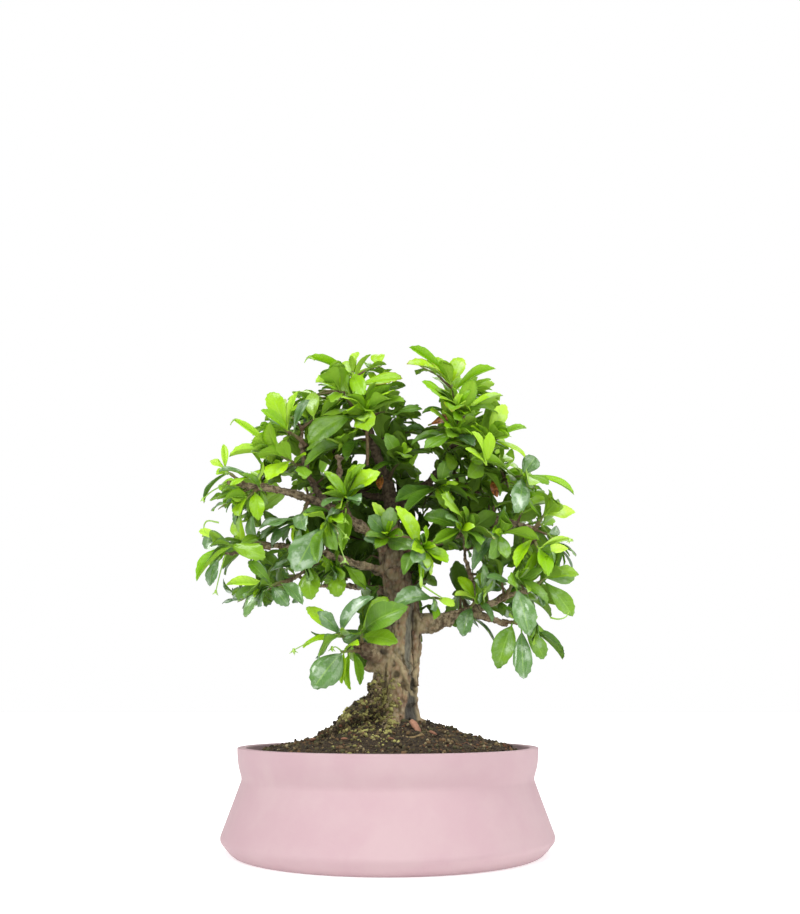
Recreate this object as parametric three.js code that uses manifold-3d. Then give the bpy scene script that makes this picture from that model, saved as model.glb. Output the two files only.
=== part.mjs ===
// Fukien tea bonsai in a round pot. Millimetres, +Z up, the front of the tree faces -Y.
// The origin is on the ground, in the middle of the pot's foot.

import * as THREE from 'three';
import { mergeVertices } from 'three/addons/utils/BufferGeometryUtils.js';
import Module from 'manifold-3d';

const wasm = await Module();
wasm.setup();

// Driving dimensions

const GAP = 0.3;
const ROUND_SIDES = 30;

// The pot's wall from the rim down its outside: radius, height.
const POT_OUTSIDE = [[82, 55.5], [81.7, 44], [80, 38.5], [86, 22], [90, 7.5], [88, 1.5], [86, 0]];
const POT_INSIDE = [[80.5, 22], [74.8, 38.5], [76.8, 44], [77, 55.5]];
const POT_FLOOR_TOP = 10;
const POT_FLOOR_UNDERSIDE = 4;
const POT_FLOOR_RADIUS = 80;
const FOOT_INNER_RADIUS = 74;
const FOOT_SLOPE = 3;
const DRAIN_RADIUS = 9;

const SCREEN_RADIUS = 17;
const SCREEN_THICKNESS = 1.2;
const SCREEN_HOLE = 5;
const SCREEN_PITCH = 7.5;
const SCREEN_SIDES = 16;

const GRIT_TOP = 15.4;
const GRIT_RINGS = [0, 26, 52, 77.5];
const GRIT_GRAIN = 0.6;
const GRIT_SIDES = 12;

const SOIL_BOTTOM = 16.6;
const SOIL_EDGE = 52.6;
const MOUND_HEIGHT = 21;
const MOUND_X = 4;
const MOUND_WIDTH_RIGHT = 33;
const MOUND_WIDTH_LEFT = 43;
const SOIL_CRUMB = 0.7;
const SOIL_RINGS = [0, 20, 38, 56];
const SOIL_GAP = 0.4;

// The trunk, from below the soil to the top of the crown: x, y, z, radius.
const TRUNK = [
  [4, 0, 46, 15], [5, 0, 62, 17], [4, 0, 76, 14.2], [4, 0, 90, 12.8], [6, 0, 106, 12], [8, 0.5, 122, 10],
  [7, 1, 136, 9], [4, 2, 152, 8.1], [1, 3.5, 167, 6.9], [1, 5, 177, 5.4], [2, 7, 187, 4.8],
  [-0.5, 9, 204, 3.9], [-7, 6, 221, 3.1], [-12, 2, 238, 2.5], [-18, 0, 252, 1.8],
];
const TRUNK_SIDES = 12;
const FLUTE_DEPTH = 0.11;
const FLUTE_TOP = 172;
const FLUTE_FADE = 40;
const FLUTE_TURN = 20;
const THREE_FLUTES = 0.6;
const FIVE_FLUTES = 0.4;

// Every limb and root: the radius at its two ends, then its route.
const LIMBS = {
  arm_left: [5.2, 2.2, [[0, 3, 168], [-16, -7, 177], [-32, -15, 186], [-49, -18, 192], [-65, -20, 196],
    [-79, -22, 198], [-89, -24, 199]]],
  low_left: [3.9, 1.5, [[-1, 2, 152], [-19, -4, 157], [-35, -8, 161], [-49, -14, 164], [-62, -20, 164],
    [-80, -24, 160], [-88, -26, 159]]],
  low_left_fork: [2, 1.2, [[-31, -8, 160], [-43, -14, 153], [-54, -20, 145], [-64, -23, 141]]],
  low_right: [4.4, 1.8, [[8, 1, 124], [23, 0, 123], [34, -4, 127], [45, -8, 129], [56, -12, 125],
    [66, -16, 122]]],
  low_right_fork: [3, 1.5, [[42, -7, 129], [55, -6, 133], [65, -6, 137], [79, -8, 141]]],
  stump_left: [5.5, 3.6, [[2, -5, 104], [-9, -13, 107], [-16, -17, 109]]],
  arm_right: [4, 1.8, [[3, 4, 160], [24, 8, 169], [44, 6, 177], [63, 0, 181], [84, -4, 176]]],
  crown_right: [3.6, 1.6, [[2, 7, 186], [18, 10, 201], [33, 8, 216], [40, 4, 230], [42, 0, 244]]],
  spur_left: [3, 1.5, [[-33, -15, 187], [-43, -10, 203], [-48, -10, 219], [-49, -11, 233]]],
  spur_middle: [2.4, 2, [[-22, -12, 181], [-26, -19, 195], [-27, -22, 213]]],
  front_twig: [2, 1.3, [[1, 0, 170], [13, -14, 168], [16, -21, 161]]],
  riser: [1.8, 1.3, [[49, -9, 129], [46, -4, 147], [44, 4, 162], [44, 6, 176]]],
  back: [4.2, 1.8, [[3, 4, 156], [8, 24, 166], [14, 46, 178], [18, 62, 190]]],
  back_left: [3.2, 1.6, [[0, 8, 196], [-22, 28, 204], [-42, 48, 208], [-56, 58, 206]]],
  back_right: [2.8, 1.5, [[22, 10, 203], [44, 30, 206], [62, 46, 206]]],
  back_low_left: [3, 1.5, [[3, 5, 140], [-14, 26, 146], [-34, 46, 150], [-48, 56, 152]]],
  back_low_right: [2.6, 1.4, [[34, -4, 127], [46, 20, 133], [62, 42, 139]]],
  root_left: [7, 3.6, [[-2, -4, 84], [-16, -9, 75], [-36, -14, 60]]],
  root_front: [6, 3, [[4, -8, 72], [1, -21, 65], [-3, -32, 58]]],
  root_right: [6, 3, [[12, -3, 74], [24, -8, 66], [35, -11, 58]]],
  root_back: [6, 3, [[4, 9, 74], [8, 23, 65], [13, 34, 57]]],
  root_back_left: [6, 3, [[-4, 6, 74], [-19, 17, 65], [-29, 25, 58]]],
};
const LIMB_STEP = 19;
const LIMB_TENSION = 0.5;
const STOUT_LIMB = 3.5;
const STOUT_SIDES = 6;
const THIN_SIDES = 5;

// Every leafy shoot: where its twig leaves the wood, where the twig ends, how far the twig arches up, how
// many leaves the rule adds and how long they are, and the leaves that stand out on the real tree: the place
// on the twig from 0 to 1, the leaf's tip, and its width.
const SHOOTS = {
  crown_left_top: [[-18, 0, 251], [-21, -6, 268], 0, 3, 22, [[0.8, -47, -12, 275, 5],
    [1, -18, -6, 280, 6], [0.9, -28, -2, 275, 6], [1, -14, -24, 249, 9], [0.5, 8, -10, 263, 10]]],
  crown_left_side: [[-18, 0, 245], [-29, -10, 257], 0, 3, 24, [[1, -41, -18, 258, 10],
    [0.7, -32, -24, 246, 8]]],
  crown_left_front: [[-14, 1, 236], [-13, -14, 240], 0, 3, 25, [[0.9, 9, -26, 245, 14],
    [1, -44, -28, 226, 17]]],
  inner_left: [[-11, 3, 230], [-25, -10, 223], 1, 4, 24, [[0.3, -24, -22, 214, 8],
    [0.7, -46, -16, 220, 9], [1, -46, -24, 211, 7]]],
  upper_left_fan: [[-48, -11, 224], [-58, -13, 231], 1, 2, 23, [[0.9, -67, -16, 253, 10],
    [0.8, -71, -18, 242, 6], [1, -51, -10, 256, 4], [0.6, -46, -14, 250, 5]]],
  upper_left_low: [[-43, -10, 203], [-62, -20, 216], 2, 3, 22, [[1, -87, -20, 236, 4],
    [1, -60, -16, 224, 6], [0.5, -45, -26, 214, 7], [0.6, -65, -32, 199, 11], [0.4, -44, -32, 200, 9],
    [0.9, -88, -24, 214, 7]]],
  far_left_tip: [[-79, -22, 198], [-90, -24, 206], 0, 1, 19, [[1, -98, -24, 211, 6],
    [1, -91, -22, 221, 4], [0.7, -93, -30, 202, 7], [0.4, -86, -31, 196, 5], [0.8, -103, -24, 189, 3]]],
  far_left_hanging: [[-70, -21, 197], [-78, -25, 189], 0, 1, 20, [[1, -85, -28, 184, 6],
    [0.9, -84, -27, 175, 5], [0.4, -70, -28, 177, 8]]],
  left_mid_arched: [[-44, -17, 190], [-49, -24, 176], 0, 3, 23, [[0.9, -70, -30, 173, 12],
    [1, -65, -24, 164, 9]]],
  left_front_hanging: [[-31, -14, 185], [-32, -34, 175], 2, 1, 23, [[0.8, -47, -50, 149, 17],
    [1, -37, -46, 152, 6], [0.5, -44, -36, 182, 6]]],
  left_far_low: [[-66, -21, 163], [-87, -26, 163], 1, 1, 21, [[1, -65, -34, 156, 10],
    [1, -103, -24, 172, 5], [0.9, -103, -28, 144, 6], [1, -92, -34, 142, 9], [0.7, -71, -20, 170, 8]]],
  left_low_tips: [[-54, -20, 145], [-64, -26, 141], 0, 1, 21, [[0.9, -87, -28, 142, 6],
    [0.8, -75, -28, 155, 6], [1, -77, -30, 125, 10], [0.9, -53, -34, 131, 8], [0.4, -46, -30, 133, 7]]],
  left_under_big: [[-36, -9, 161], [-43, -18, 153], 0, 1, 22, [[0.9, -42, -26, 135, 13],
    [1, -65, -18, 151, 8]]],
  left_under_mid: [[-23, -5, 158], [-28, -14, 153], 0, 2, 21, [[1, -27, -22, 136, 10],
    [0.5, -12, -14, 141, 8]]],
  stump_up: [[-15, -17, 109], [-26, -32, 115], 0, 1, 21, [[1, -43, -32, 130, 8], [1, -35, -42, 126, 8],
    [0.9, -11, -44, 135, 10], [0.8, -45, -34, 110, 8]]],
  stump_right: [[-14, -16, 110], [-14, -27, 117], 0, 0, 21, [[1, -1, -28, 136, 9], [0.9, 6, -40, 129, 14],
    [0.6, 5, -38, 111, 10]]],
  stump_low: [[-15, -17, 107], [-24, -32, 106], 0, 0, 21, [[1, -38, -42, 87, 16], [0.9, -24, -34, 89, 5],
    [0.6, -20, -33, 86, 5], [0.4, -14, -28, 89, 5], [0.9, -15, -43, 110, 6]]],
  centre_left_bright: [[-24, -11, 181], [-22, -32, 187], 2, 3, 22, [[1, -5, -42, 201, 11],
    [1, -34, -36, 203, 6], [0.4, -24, -40, 160, 8]]],
  centre_v: [[0, 0, 165], [-1, -22, 169], 1, 2, 20, [[0.9, -8, -32, 186, 6], [0.8, 8, -30, 181, 4]]],
  front_twig_leaves: [[15, -19, 162], [18, -30, 161], 0, 0, 20, [[0.8, 5, -38, 183, 8],
    [1, 32, -36, 153, 9], [0.5, 8, -35, 149, 8], [0.4, 18, -28, 143, 3], [1, 23, -34, 148, 3]]],
  trunk_front_leaf: [[10, 0, 142], [27, -22, 135], -2, 0, 20, [[0.9, 4, -32, 133, 13],
    [0.94, 36, -24, 131, 5]]],
  low_right_inner: [[44, -8, 129], [49, -15, 136], 0, 1, 21, [[0.9, 36, -22, 137, 6],
    [0.8, 39, -17, 148, 7], [1, 51, -16, 150, 6], [0.8, 57, -24, 124, 6], [0.4, 40, -20, 116, 9]]],
  low_right_hanging: [[64, -15, 123], [73, -21, 121], 0, 0, 21, [[0.4, 58, -26, 98, 12],
    [0.9, 71, -33, 92, 10], [1, 84, -24, 103, 9], [0.9, 95, -20, 103, 6], [0.6, 64, -22, 131, 6]]],
  low_right_glossy: [[65, -6, 137], [69, -18, 146], 0, 2, 22, [[0.9, 74, -38, 117, 12],
    [1, 87, -24, 134, 8], [0.7, 55, -25, 148, 7]]],
  right_end_low: [[78, -8, 141], [87, -12, 148], 0, 1, 21, [[0.8, 101, -16, 126, 10],
    [1, 105, -14, 151, 9], [0.4, 84, -20, 131, 5]]],
  right_end_mid: [[79, -3, 177], [84, -15, 160], 0, 1, 21, [[1, 99, -18, 163, 7], [0.7, 86, -27, 147, 9],
    [0.4, 69, -26, 152, 7], [0.8, 103, -12, 169, 3]]],
  right_end_high: [[82, -4, 176], [88, -9, 184], 0, 1, 20, [[0.9, 104, -14, 184, 9],
    [0.5, 75, -20, 192, 8]]],
  right_mid_grey: [[56, 3, 180], [62, -16, 171], 1, 3, 22, [[0.9, 64, -26, 157, 7], [1, 59, -28, 145, 6],
    [0.6, 46, -22, 153, 8]]],
  centre_right_big: [[42, 6, 176], [40, -18, 173], 1, 3, 22, [[0.9, 31, -34, 191, 15],
    [0.7, 24, -28, 164, 6], [0.8, 21, -20, 182, 10]]],
  right_shoulder_hang: [[60, 44, 206], [77, -14, 205], 4, 2, 22, [[0.9, 71, -30, 184, 11],
    [0.75, 47, -24, 213, 6], [1, 89, -18, 199, 8], [0.97, 105, -14, 196, 8], [0.9, 84, -6, 218, 10]]],
  right_shoulder_top: [[38, 5, 226], [61, -8, 227], 1, 3, 22, [[0.9, 77, -14, 216, 8],
    [0.8, 66, -14, 246, 9], [1, 79, -6, 235, 5], [0.6, 50, -24, 232, 9]]],
  crown_right_top: [[42, 0, 243], [35, -6, 262], 0, 1, 21, [[1, 12, -8, 283, 6], [0.9, 12, -16, 272, 10],
    [0.9, 42, -12, 274, 10], [1, 26, -2, 279, 5], [0.7, 62, -4, 272, 6]]],
  crown_right_mid: [[41, 3, 236], [39, -12, 242], 0, 2, 22, [[0.8, 19, -20, 258, 9],
    [0.9, 46, -19, 253, 5], [1, 62, -14, 245, 10], [0.8, 43, -24, 238, 6], [0.6, 66, -4, 255, 5]]],
  crown_right_low: [[36, 6, 222], [38, -12, 229], 0, 3, 23, [[1, 20, -24, 219, 10],
    [0.9, 47, -25, 221, 8], [0.6, 14, -20, 226, 7]]],
  centre_dark: [[-1, 9, 206], [6, -8, 214], 1, 6, 23, [[1, -1, -17, 228, 8], [0.9, -10, -16, 209, 7]]],
  centre_dark_right: [[18, 10, 201], [29, -8, 199], 1, 6, 23, [[0.7, 4, -16, 190, 8],
    [0.9, 8, -19, 182, 6], [1, 32, -14, 213, 7]]],
  back_crown_left: [[-17, 1, 249], [-24, 21, 262], 2, 5, 25, []],
  back_crown_right: [[41, 1, 241], [46, 22, 258], 2, 5, 25, []],
  back_crown_middle: [[-6, 6, 220], [-4, 30, 238], 3, 6, 25, []],
  back_left_high: [[-30, 36, 206], [-36, 36, 234], 0, 6, 25, []],
  back_left_outer: [[-54, 57, 206], [-76, 56, 212], 2, 6, 25, []],
  back_left_behind: [[-44, 50, 208], [-46, 72, 222], 2, 5, 25, []],
  back_left_low: [[-47, 55, 152], [-68, 58, 158], 2, 6, 25, []],
  back_left_low_behind: [[-30, 42, 149], [-26, 68, 158], 2, 5, 25, []],
  back_middle_high: [[15, 50, 181], [4, 58, 206], 0, 6, 25, []],
  back_middle_low: [[17, 60, 189], [32, 72, 180], 2, 5, 25, []],
  back_inner_left: [[8, 24, 166], [-18, 34, 176], 2, 5, 25, []],
  back_right_high: [[43, 29, 206], [36, 38, 230], 0, 6, 25, []],
  back_right_outer: [[61, 45, 206], [80, 42, 216], 2, 6, 25, []],
  back_right_behind: [[52, 38, 206], [50, 68, 214], 2, 5, 25, []],
  back_right_low: [[60, 40, 138], [82, 40, 148], 2, 6, 25, []],
  back_right_low_behind: [[47, 22, 133], [40, 52, 146], 2, 5, 25, []],
  side_right: [[62, 1, 181], [78, 20, 180], 2, 5, 25, []],
  side_left_high: [[-62, -19, 195], [-78, 8, 204], 2, 5, 25, []],
  side_left_low: [[-60, -19, 164], [-82, 4, 168], 2, 5, 25, []],
};
const TWIG_RADII = [1.2, 0.75];
const TWIG_SIDES = 4;
const FIRST_LEAF = 0.35;
const LAST_LEAF = 0.95;

// The blades. An outline runs from the root to the blunt tip: the place along the leaf, half the width there.
const BLADE = 0.7;
const YOUNG_OUTLINE = [[0.66, 0.5], [0.96, 0.28]];
const GROWN_OUTLINE = [[0.4, 0.27], [0.7, 0.5], [0.96, 0.27]];
const BROAD_OUTLINE = [[0.36, 0.24], [0.6, 0.47], [0.76, 0.5], [0.82, 0.4], [0.97, 0.24]];
const GROWN_LENGTH = 25;
const BROAD_LENGTH = 33;
const LEAF_SLIMNESS = 0.56;
const RIB_PLACE = 0.62;
const ARCH = 0.07;
const FOLD = 0.28;
const GOLDEN_ANGLE = 2.39996;
// The points of a blade that are tested: place along it, half the width, side.
const BLADE_CHECKS = [[1, 0, 1], [0.5, 0, 1], [0.7, 0.5, 1], [0.7, 0.5, -1]];

// Where leaves may be: the room round the tree, and the crown's outline as seen from the front.
// An outline row is a height with the crown's left and right edge there.
const CROWN_DEPTH = 88;
const CROWN_REACH = 108;
const EYE = [6.5, -560, 80];
const CROWN_ROWS = [
  [96, -48, 10], [104, -48, 84], [113, -46, 95], [121, -45, 92], [130, -84, 102], [139, -100, 103],
  [147, -106, 107], [155, -104, 109], [164, -105, 108], [173, -107, 98], [182, -90, 98], [190, -107, 100],
  [198, -103, 94], [208, -101, 83], [217, -96, 74], [226, -92, 72], [235, -82, 71], [244, -72, 68],
  [255, -62, 66], [264, -42, 62], [274, -40, 40], [282, -22, 18],
];
// Gaps that one sees through the crown: x, z, radius, at the middle of the tree.
const SEE_THROUGH = [
  [14, 257, 6], [24, 252, 4], [21, 219, 5], [32, 154, 6], [31, 142, 6], [-20, 136, 5], [-33, 134, 4],
  [-60, 204, 4], [-43, 233, 3], [-64, 171, 3], [-54, 152, 4], [-80, 150, 4], [-86, 228, 5], [42, 160, 3],
  [-30, 110, 5], [30, 112, 8], [-50, 196, 3],
];

// How a leaf is moved when its first place is taken, the room kept round it, and the volume in which the
// roots of two leaves of one shoot may cross.
const LEAF_TRIES = 14;
const DEPTH_SHIFTS = [0, -4, 4, -8, 8, -12, 12];
const ROLLS = [0, 0.5];
const TURN_PER_TRY = 0.9;
const CLEARANCE = 0.35;
const ROOT_CROSSING = 0.08;

// Which way a leaf's upper face looks, how far leaves stand off their twig, and how much chance turns them.
const FRONT_FACE = [0.15, -0.8, 0.65];
const FRONT_SWAY = 0.35;
const UPWARD_FACE = 0.6;
const SPREAD_AT_ROOT = 1.1;
const SPREAD_LOSS = 0.5;
const SPREAD_CHANCE = 0.3;
const OUTWARD_PULL = 0.3;
const RISE_CHANCE = 0.15;
const SHORTEST = 0.72;
const LENGTH_CHANCE = 0.5;
const TWIST_CHANCE = 0.45;
const BREADTH_CHANCE = 0.25;
const FRONT_BREADTH = 1.2;
const CROWN_MIDDLE = 175;

// The directions that a rod's sides are set out from, and when it is too steep for the first.
const NEARLY_UP = [0.3, 0.2, 1];
const NEARLY_RIGHT = [1, 0.1, 0];
const STEEP = 0.35;

// Seeded draws from 0 to 1, one stream for each seed

const DRAW_PRIME = 2147483647;
const DRAW_FACTOR = 48271;
const DRAW_START = 104729;

function draws(seed) {
  let state = (seed + 1) * DRAW_START % DRAW_PRIME;
  return () => {
    state = state * DRAW_FACTOR % DRAW_PRIME;
    return state / DRAW_PRIME;
  };
}

// Solids and meshes

function geometryFrom(points, faces) {
  const geometry = new THREE.BufferGeometry();
  geometry.setAttribute('position', new THREE.Float32BufferAttribute(points.flatMap((p) => p.toArray()), 3));
  geometry.setIndex(faces);
  return geometry;
}

function solidOf(geometry) {
  const plain = geometry.clone();
  plain.deleteAttribute('normal');
  plain.deleteAttribute('uv');
  const merged = mergeVertices(plain, 1e-4);
  return new wasm.Manifold(new wasm.Mesh({
    numProp: 3,
    vertProperties: new Float32Array(merged.attributes.position.array),
    triVerts: new Uint32Array(merged.index.array),
  }));
}

function geometryOf(solid) {
  const mesh = solid.getMesh();
  const geometry = new THREE.BufferGeometry();
  geometry.setAttribute('position', new THREE.BufferAttribute(mesh.vertProperties, 3));
  geometry.setIndex(new THREE.BufferAttribute(mesh.triVerts, 1));
  return geometry;
}

function largestBody(solid) {
  const bodies = solid.decompose();
  return bodies.reduce((best, body) => (body.volume() > best.volume() ? body : best));
}

// A closed skin over rings of points, each ring with the same number of points.
function skinOver(rings) {
  const sides = rings[0].length;
  const last = (rings.length - 1) * sides;
  const faces = [];
  for (let ring = 0; ring < last; ring += sides) {
    for (let side = 0; side < sides; side++) {
      const a = ring + side;
      const b = ring + (side + 1) % sides;
      faces.push(a, b, b + sides, a, b + sides, a + sides);
    }
  }
  for (let side = 1; side < sides - 1; side++) {
    faces.push(0, side + 1, side);
    faces.push(last, last + side, last + side + 1);
  }
  return geometryFrom(rings.flat(), faces);
}

function vector(numbers) {
  return new THREE.Vector3(numbers[0], numbers[1], numbers[2]);
}

// A direction square to the one given, nearly level unless the one given is steep.
function sideways(ahead) {
  const level = vector(NEARLY_UP).cross(ahead);
  return (level.length() < STEEP ? vector(NEARLY_RIGHT).cross(ahead) : level).normalize();
}

// A round rod along a route, its radius given at each step.
function rod(route, radii, sides) {
  const rings = route.map((point, i) => {
    const ahead = route[Math.min(i + 1, route.length - 1)].clone().sub(route[Math.max(i - 1, 0)]).normalize();
    const across = sideways(ahead);
    const over = ahead.clone().cross(across);
    return Array.from({ length: sides }, (_, side) => {
      const angle = side / sides * 2 * Math.PI;
      return point.clone()
        .addScaledVector(across, radii[i] * Math.cos(angle))
        .addScaledVector(over, radii[i] * Math.sin(angle));
    });
  });
  return skinOver(rings);
}

// Pot

function makePot() {
  const profile = [
    ...POT_OUTSIDE,
    [FOOT_INNER_RADIUS, 0],
    [FOOT_INNER_RADIUS - FOOT_SLOPE, POT_FLOOR_UNDERSIDE],
    [DRAIN_RADIUS, POT_FLOOR_UNDERSIDE],
    [DRAIN_RADIUS, POT_FLOOR_TOP],
    [POT_FLOOR_RADIUS, POT_FLOOR_TOP],
    ...POT_INSIDE,
  ];
  const outline = [...profile, profile[0]].map(([radius, height]) => new THREE.Vector2(radius, height));
  const geometry = new THREE.LatheGeometry(outline.reverse(), ROUND_SIDES);
  return geometryOf(solidOf(geometry.rotateX(Math.PI / 2)));
}

// Drainage

function makeScreen() {
  const disc = new THREE.CylinderGeometry(SCREEN_RADIUS, SCREEN_RADIUS, SCREEN_THICKNESS, SCREEN_SIDES);
  let screen = solidOf(disc.rotateX(Math.PI / 2));
  for (const column of [-1, 0, 1]) {
    for (const row of [-1, 0, 1]) {
      const hole = new THREE.BoxGeometry(SCREEN_HOLE, SCREEN_HOLE, 2 * SCREEN_THICKNESS);
      hole.translate(column * SCREEN_PITCH, row * SCREEN_PITCH, 0);
      screen = screen.subtract(solidOf(hole));
    }
  }
  const height = POT_FLOOR_TOP + GAP + SCREEN_THICKNESS / 2;
  return geometryOf(screen).translate(0, 0, height);
}

// A heap with a round plan: rings of the given radii, each point's height from a rule, and a wall of rings
// below them.
function heap(radii, heightAt, wall, bottom, sides) {
  const ringAt = (radius, height) => Array.from({ length: sides }, (_, side) => {
    const angle = side / sides * 2 * Math.PI;
    const x = radius * Math.cos(angle);
    const y = radius * Math.sin(angle);
    return new THREE.Vector3(x, y, height === undefined ? heightAt(x, y) : height);
  });
  const lowest = wall[wall.length - 1][0];
  const rings = [ringAt(lowest, bottom), ...wall.slice(0, -1).reverse().map(([r, z]) => ringAt(r, z))];
  rings.push(...radii.slice(1).reverse().map((radius) => ringAt(radius)));
  const points = rings.flat();
  const top = new THREE.Vector3(0, 0, heightAt(0, 0));
  const faces = [];
  const last = (rings.length - 1) * sides;
  for (let ring = 0; ring < last; ring += sides) {
    for (let side = 0; side < sides; side++) {
      const a = ring + side;
      const b = ring + (side + 1) % sides;
      faces.push(a, b, b + sides, a, b + sides, a + sides);
    }
  }
  for (let side = 0; side < sides; side++) {
    faces.push(last + side, last + (side + 1) % sides, points.length);
  }
  for (let side = 1; side < sides - 1; side++) {
    faces.push(0, side + 1, side);
  }
  return geometryFrom([...points, top], faces);
}

function makeGrit() {
  const draw = draws(3);
  const heightAt = () => GRIT_TOP + GRIT_GRAIN * (draw() * 2 - 1);
  const edge = GRIT_RINGS[GRIT_RINGS.length - 1];
  const layer = heap(GRIT_RINGS, heightAt, [[edge, 0]], POT_FLOOR_TOP + GAP, GRIT_SIDES);
  const room = SCREEN_RADIUS + GAP;
  const recess = new THREE.CylinderGeometry(room, room, 2 * SCREEN_THICKNESS, SCREEN_SIDES);
  recess.rotateX(Math.PI / 2).translate(0, 0, POT_FLOOR_TOP + GAP + GAP);
  return geometryOf(solidOf(layer).subtract(solidOf(recess)));
}

// Soil

function soilHeight(x, y) {
  const fromTrunk = Math.hypot(x - MOUND_X, y);
  const leftness = Math.max(0, (MOUND_X - x) / Math.max(fromTrunk, 1));
  const width = MOUND_WIDTH_RIGHT + (MOUND_WIDTH_LEFT - MOUND_WIDTH_RIGHT) * leftness;
  return SOIL_EDGE + MOUND_HEIGHT * Math.exp(-((fromTrunk / width) ** 2));
}

function makeSoil(wideWood) {
  const draw = draws(5);
  const inset = (radius) => radius * Math.cos(Math.PI / ROUND_SIDES) - SOIL_GAP;
  const wall = [...POT_INSIDE].reverse().slice(1).map(([radius, height]) => [inset(radius), height]);
  const bottomRadius = inset(POT_FLOOR_RADIUS);
  const rim = inset(POT_INSIDE[3][0]);
  const heightAt = (x, y) => {
    const crumb = SOIL_CRUMB * (draw() * 2 - 1);
    return soilHeight(x, y) + crumb;
  };
  const body = heap([...SOIL_RINGS, rim], heightAt, [...wall, [bottomRadius, 0]], SOIL_BOTTOM, ROUND_SIDES);
  return geometryOf(largestBody(solidOf(body).subtract(wideWood)));
}

// Wood. More grows it evenly, for the room that it needs.

function trunkSolid(more) {
  const rings = TRUNK.map(([x, y, z, radius]) => {
    const flute = FLUTE_DEPTH * Math.min(1, Math.max(0, (FLUTE_TOP - z) / FLUTE_FADE));
    return Array.from({ length: TRUNK_SIDES }, (_, side) => {
      const angle = side / TRUNK_SIDES * 2 * Math.PI;
      const turn = z / FLUTE_TURN;
      const wave = THREE_FLUTES * Math.cos(3 * angle + turn) + FIVE_FLUTES * Math.cos(5 * angle - turn);
      const reach = radius * (1 + flute * wave) + more;
      return new THREE.Vector3(x + reach * Math.cos(angle), y + reach * Math.sin(angle), z);
    });
  });
  return solidOf(skinOver(rings));
}

function limbRoute(points) {
  const curve = new THREE.CatmullRomCurve3(points.map(vector), false, 'catmullrom', LIMB_TENSION);
  const steps = Math.max(2, Math.round(curve.getLength() / LIMB_STEP));
  return Array.from({ length: steps + 1 }, (_, i) => curve.getPoint(i / steps));
}

function limbSolid([thick, thin, points], more) {
  const route = limbRoute(points);
  const radii = route.map((_, i) => thick + (thin - thick) * i / (route.length - 1) + more);
  return solidOf(rod(route, radii, thick > STOUT_LIMB ? STOUT_SIDES : THIN_SIDES));
}

function woodSolid(more) {
  const limbs = Object.values(LIMBS).map((limb) => limbSolid(limb, more));
  return wasm.Manifold.union([trunkSolid(more), ...limbs]);
}

// Twigs

function twigPoint([from, to, lift], place) {
  const start = vector(from);
  const end = vector(to);
  const bow = start.clone().lerp(end, 0.5);
  bow.z += lift;
  return place < 0.5 ? start.lerp(bow, 2 * place) : bow.lerp(end, 2 * place - 1);
}

function twigSolid(shoot) {
  const places = [0, 0.5, 1];
  const route = places.map((t) => twigPoint(shoot, t));
  const radii = places.map((t) => TWIG_RADII[0] + (TWIG_RADII[1] - TWIG_RADII[0]) * t);
  return solidOf(rod(route, radii, TWIG_SIDES));
}

// Leaves. A leaf is its root, its direction to the tip, the normal of its upper face, length and width.

function leaf(root, tip, face, roll, width) {
  const length = root.distanceTo(tip);
  const along = tip.clone().sub(root).normalize();
  const normal = face.clone().addScaledVector(along, -face.dot(along)).normalize();
  normal.applyAxisAngle(along, roll);
  return { root, along, normal, length, width };
}

function bladePoint({ root, along, normal, length, width }, place, half, side) {
  const across = along.clone().cross(normal);
  const rise = length * ARCH * 4 * place * (1 - place) + FOLD * half * width;
  return root.clone()
    .addScaledVector(along, place * length)
    .addScaledVector(across, side * half * width)
    .addScaledVector(normal, rise);
}

function outlineOf(length) {
  if (length > BROAD_LENGTH) {
    return BROAD_OUTLINE;
  }
  return length > GROWN_LENGTH ? GROWN_OUTLINE : YOUNG_OUTLINE;
}

function bladeSolid(blade, more) {
  const outline = outlineOf(blade.length);
  const rim = [
    bladePoint(blade, 0, 0, 1),
    ...outline.map(([place, half]) => bladePoint(blade, place, half, 1)),
    ...[...outline].reverse().map(([place, half]) => bladePoint(blade, place, half, -1)),
  ];
  const middle = bladePoint(blade, RIB_PLACE, 0, 1);
  const grown = rim.map((point) => {
    const outward = point.clone().sub(middle).normalize();
    return point.clone().addScaledVector(outward, more);
  });
  const lift = blade.normal.clone().multiplyScalar(BLADE / 2 + more);
  const upper = [...grown, middle].map((point) => point.clone().add(lift));
  const lower = [...grown, middle].map((point) => point.clone().sub(lift));
  const count = rim.length;
  const below = count + 1;
  const faces = [0, 1, count - 1, below, below + count - 1, below + 1];
  for (let i = 0; i < count; i++) {
    const next = (i + 1) % count;
    faces.push(i, below + i, below + next, i, below + next, next);
  }
  for (let i = 1; i < count; i++) {
    const next = i === count - 1 ? 1 : i + 1;
    faces.push(count, i, next);
    faces.push(below + count, below + next, below + i);
  }
  return solidOf(geometryFrom([...upper, ...lower], faces));
}

// A leaf that stands out on the real tree keeps its tip where the front view has it, at one depth of a few.
function namedLeaf(shoot, [place, x, y, z, width], attempt) {
  const root = twigPoint(shoot, Math.min(place, LAST_LEAF));
  const eye = vector(EYE);
  const seen = vector([x, y, z]);
  const shift = DEPTH_SHIFTS[attempt % DEPTH_SHIFTS.length];
  const tip = seen.clone().addScaledVector(seen.clone().sub(eye).normalize(), shift);
  const face = vector(FRONT_FACE);
  face.x *= Math.sign(x);
  const roll = ROLLS[Math.floor(attempt / DEPTH_SHIFTS.length)] + FRONT_SWAY * Math.sin(2 * x + z);
  return leaf(root, tip, face, roll, width * FRONT_BREADTH);
}

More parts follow.
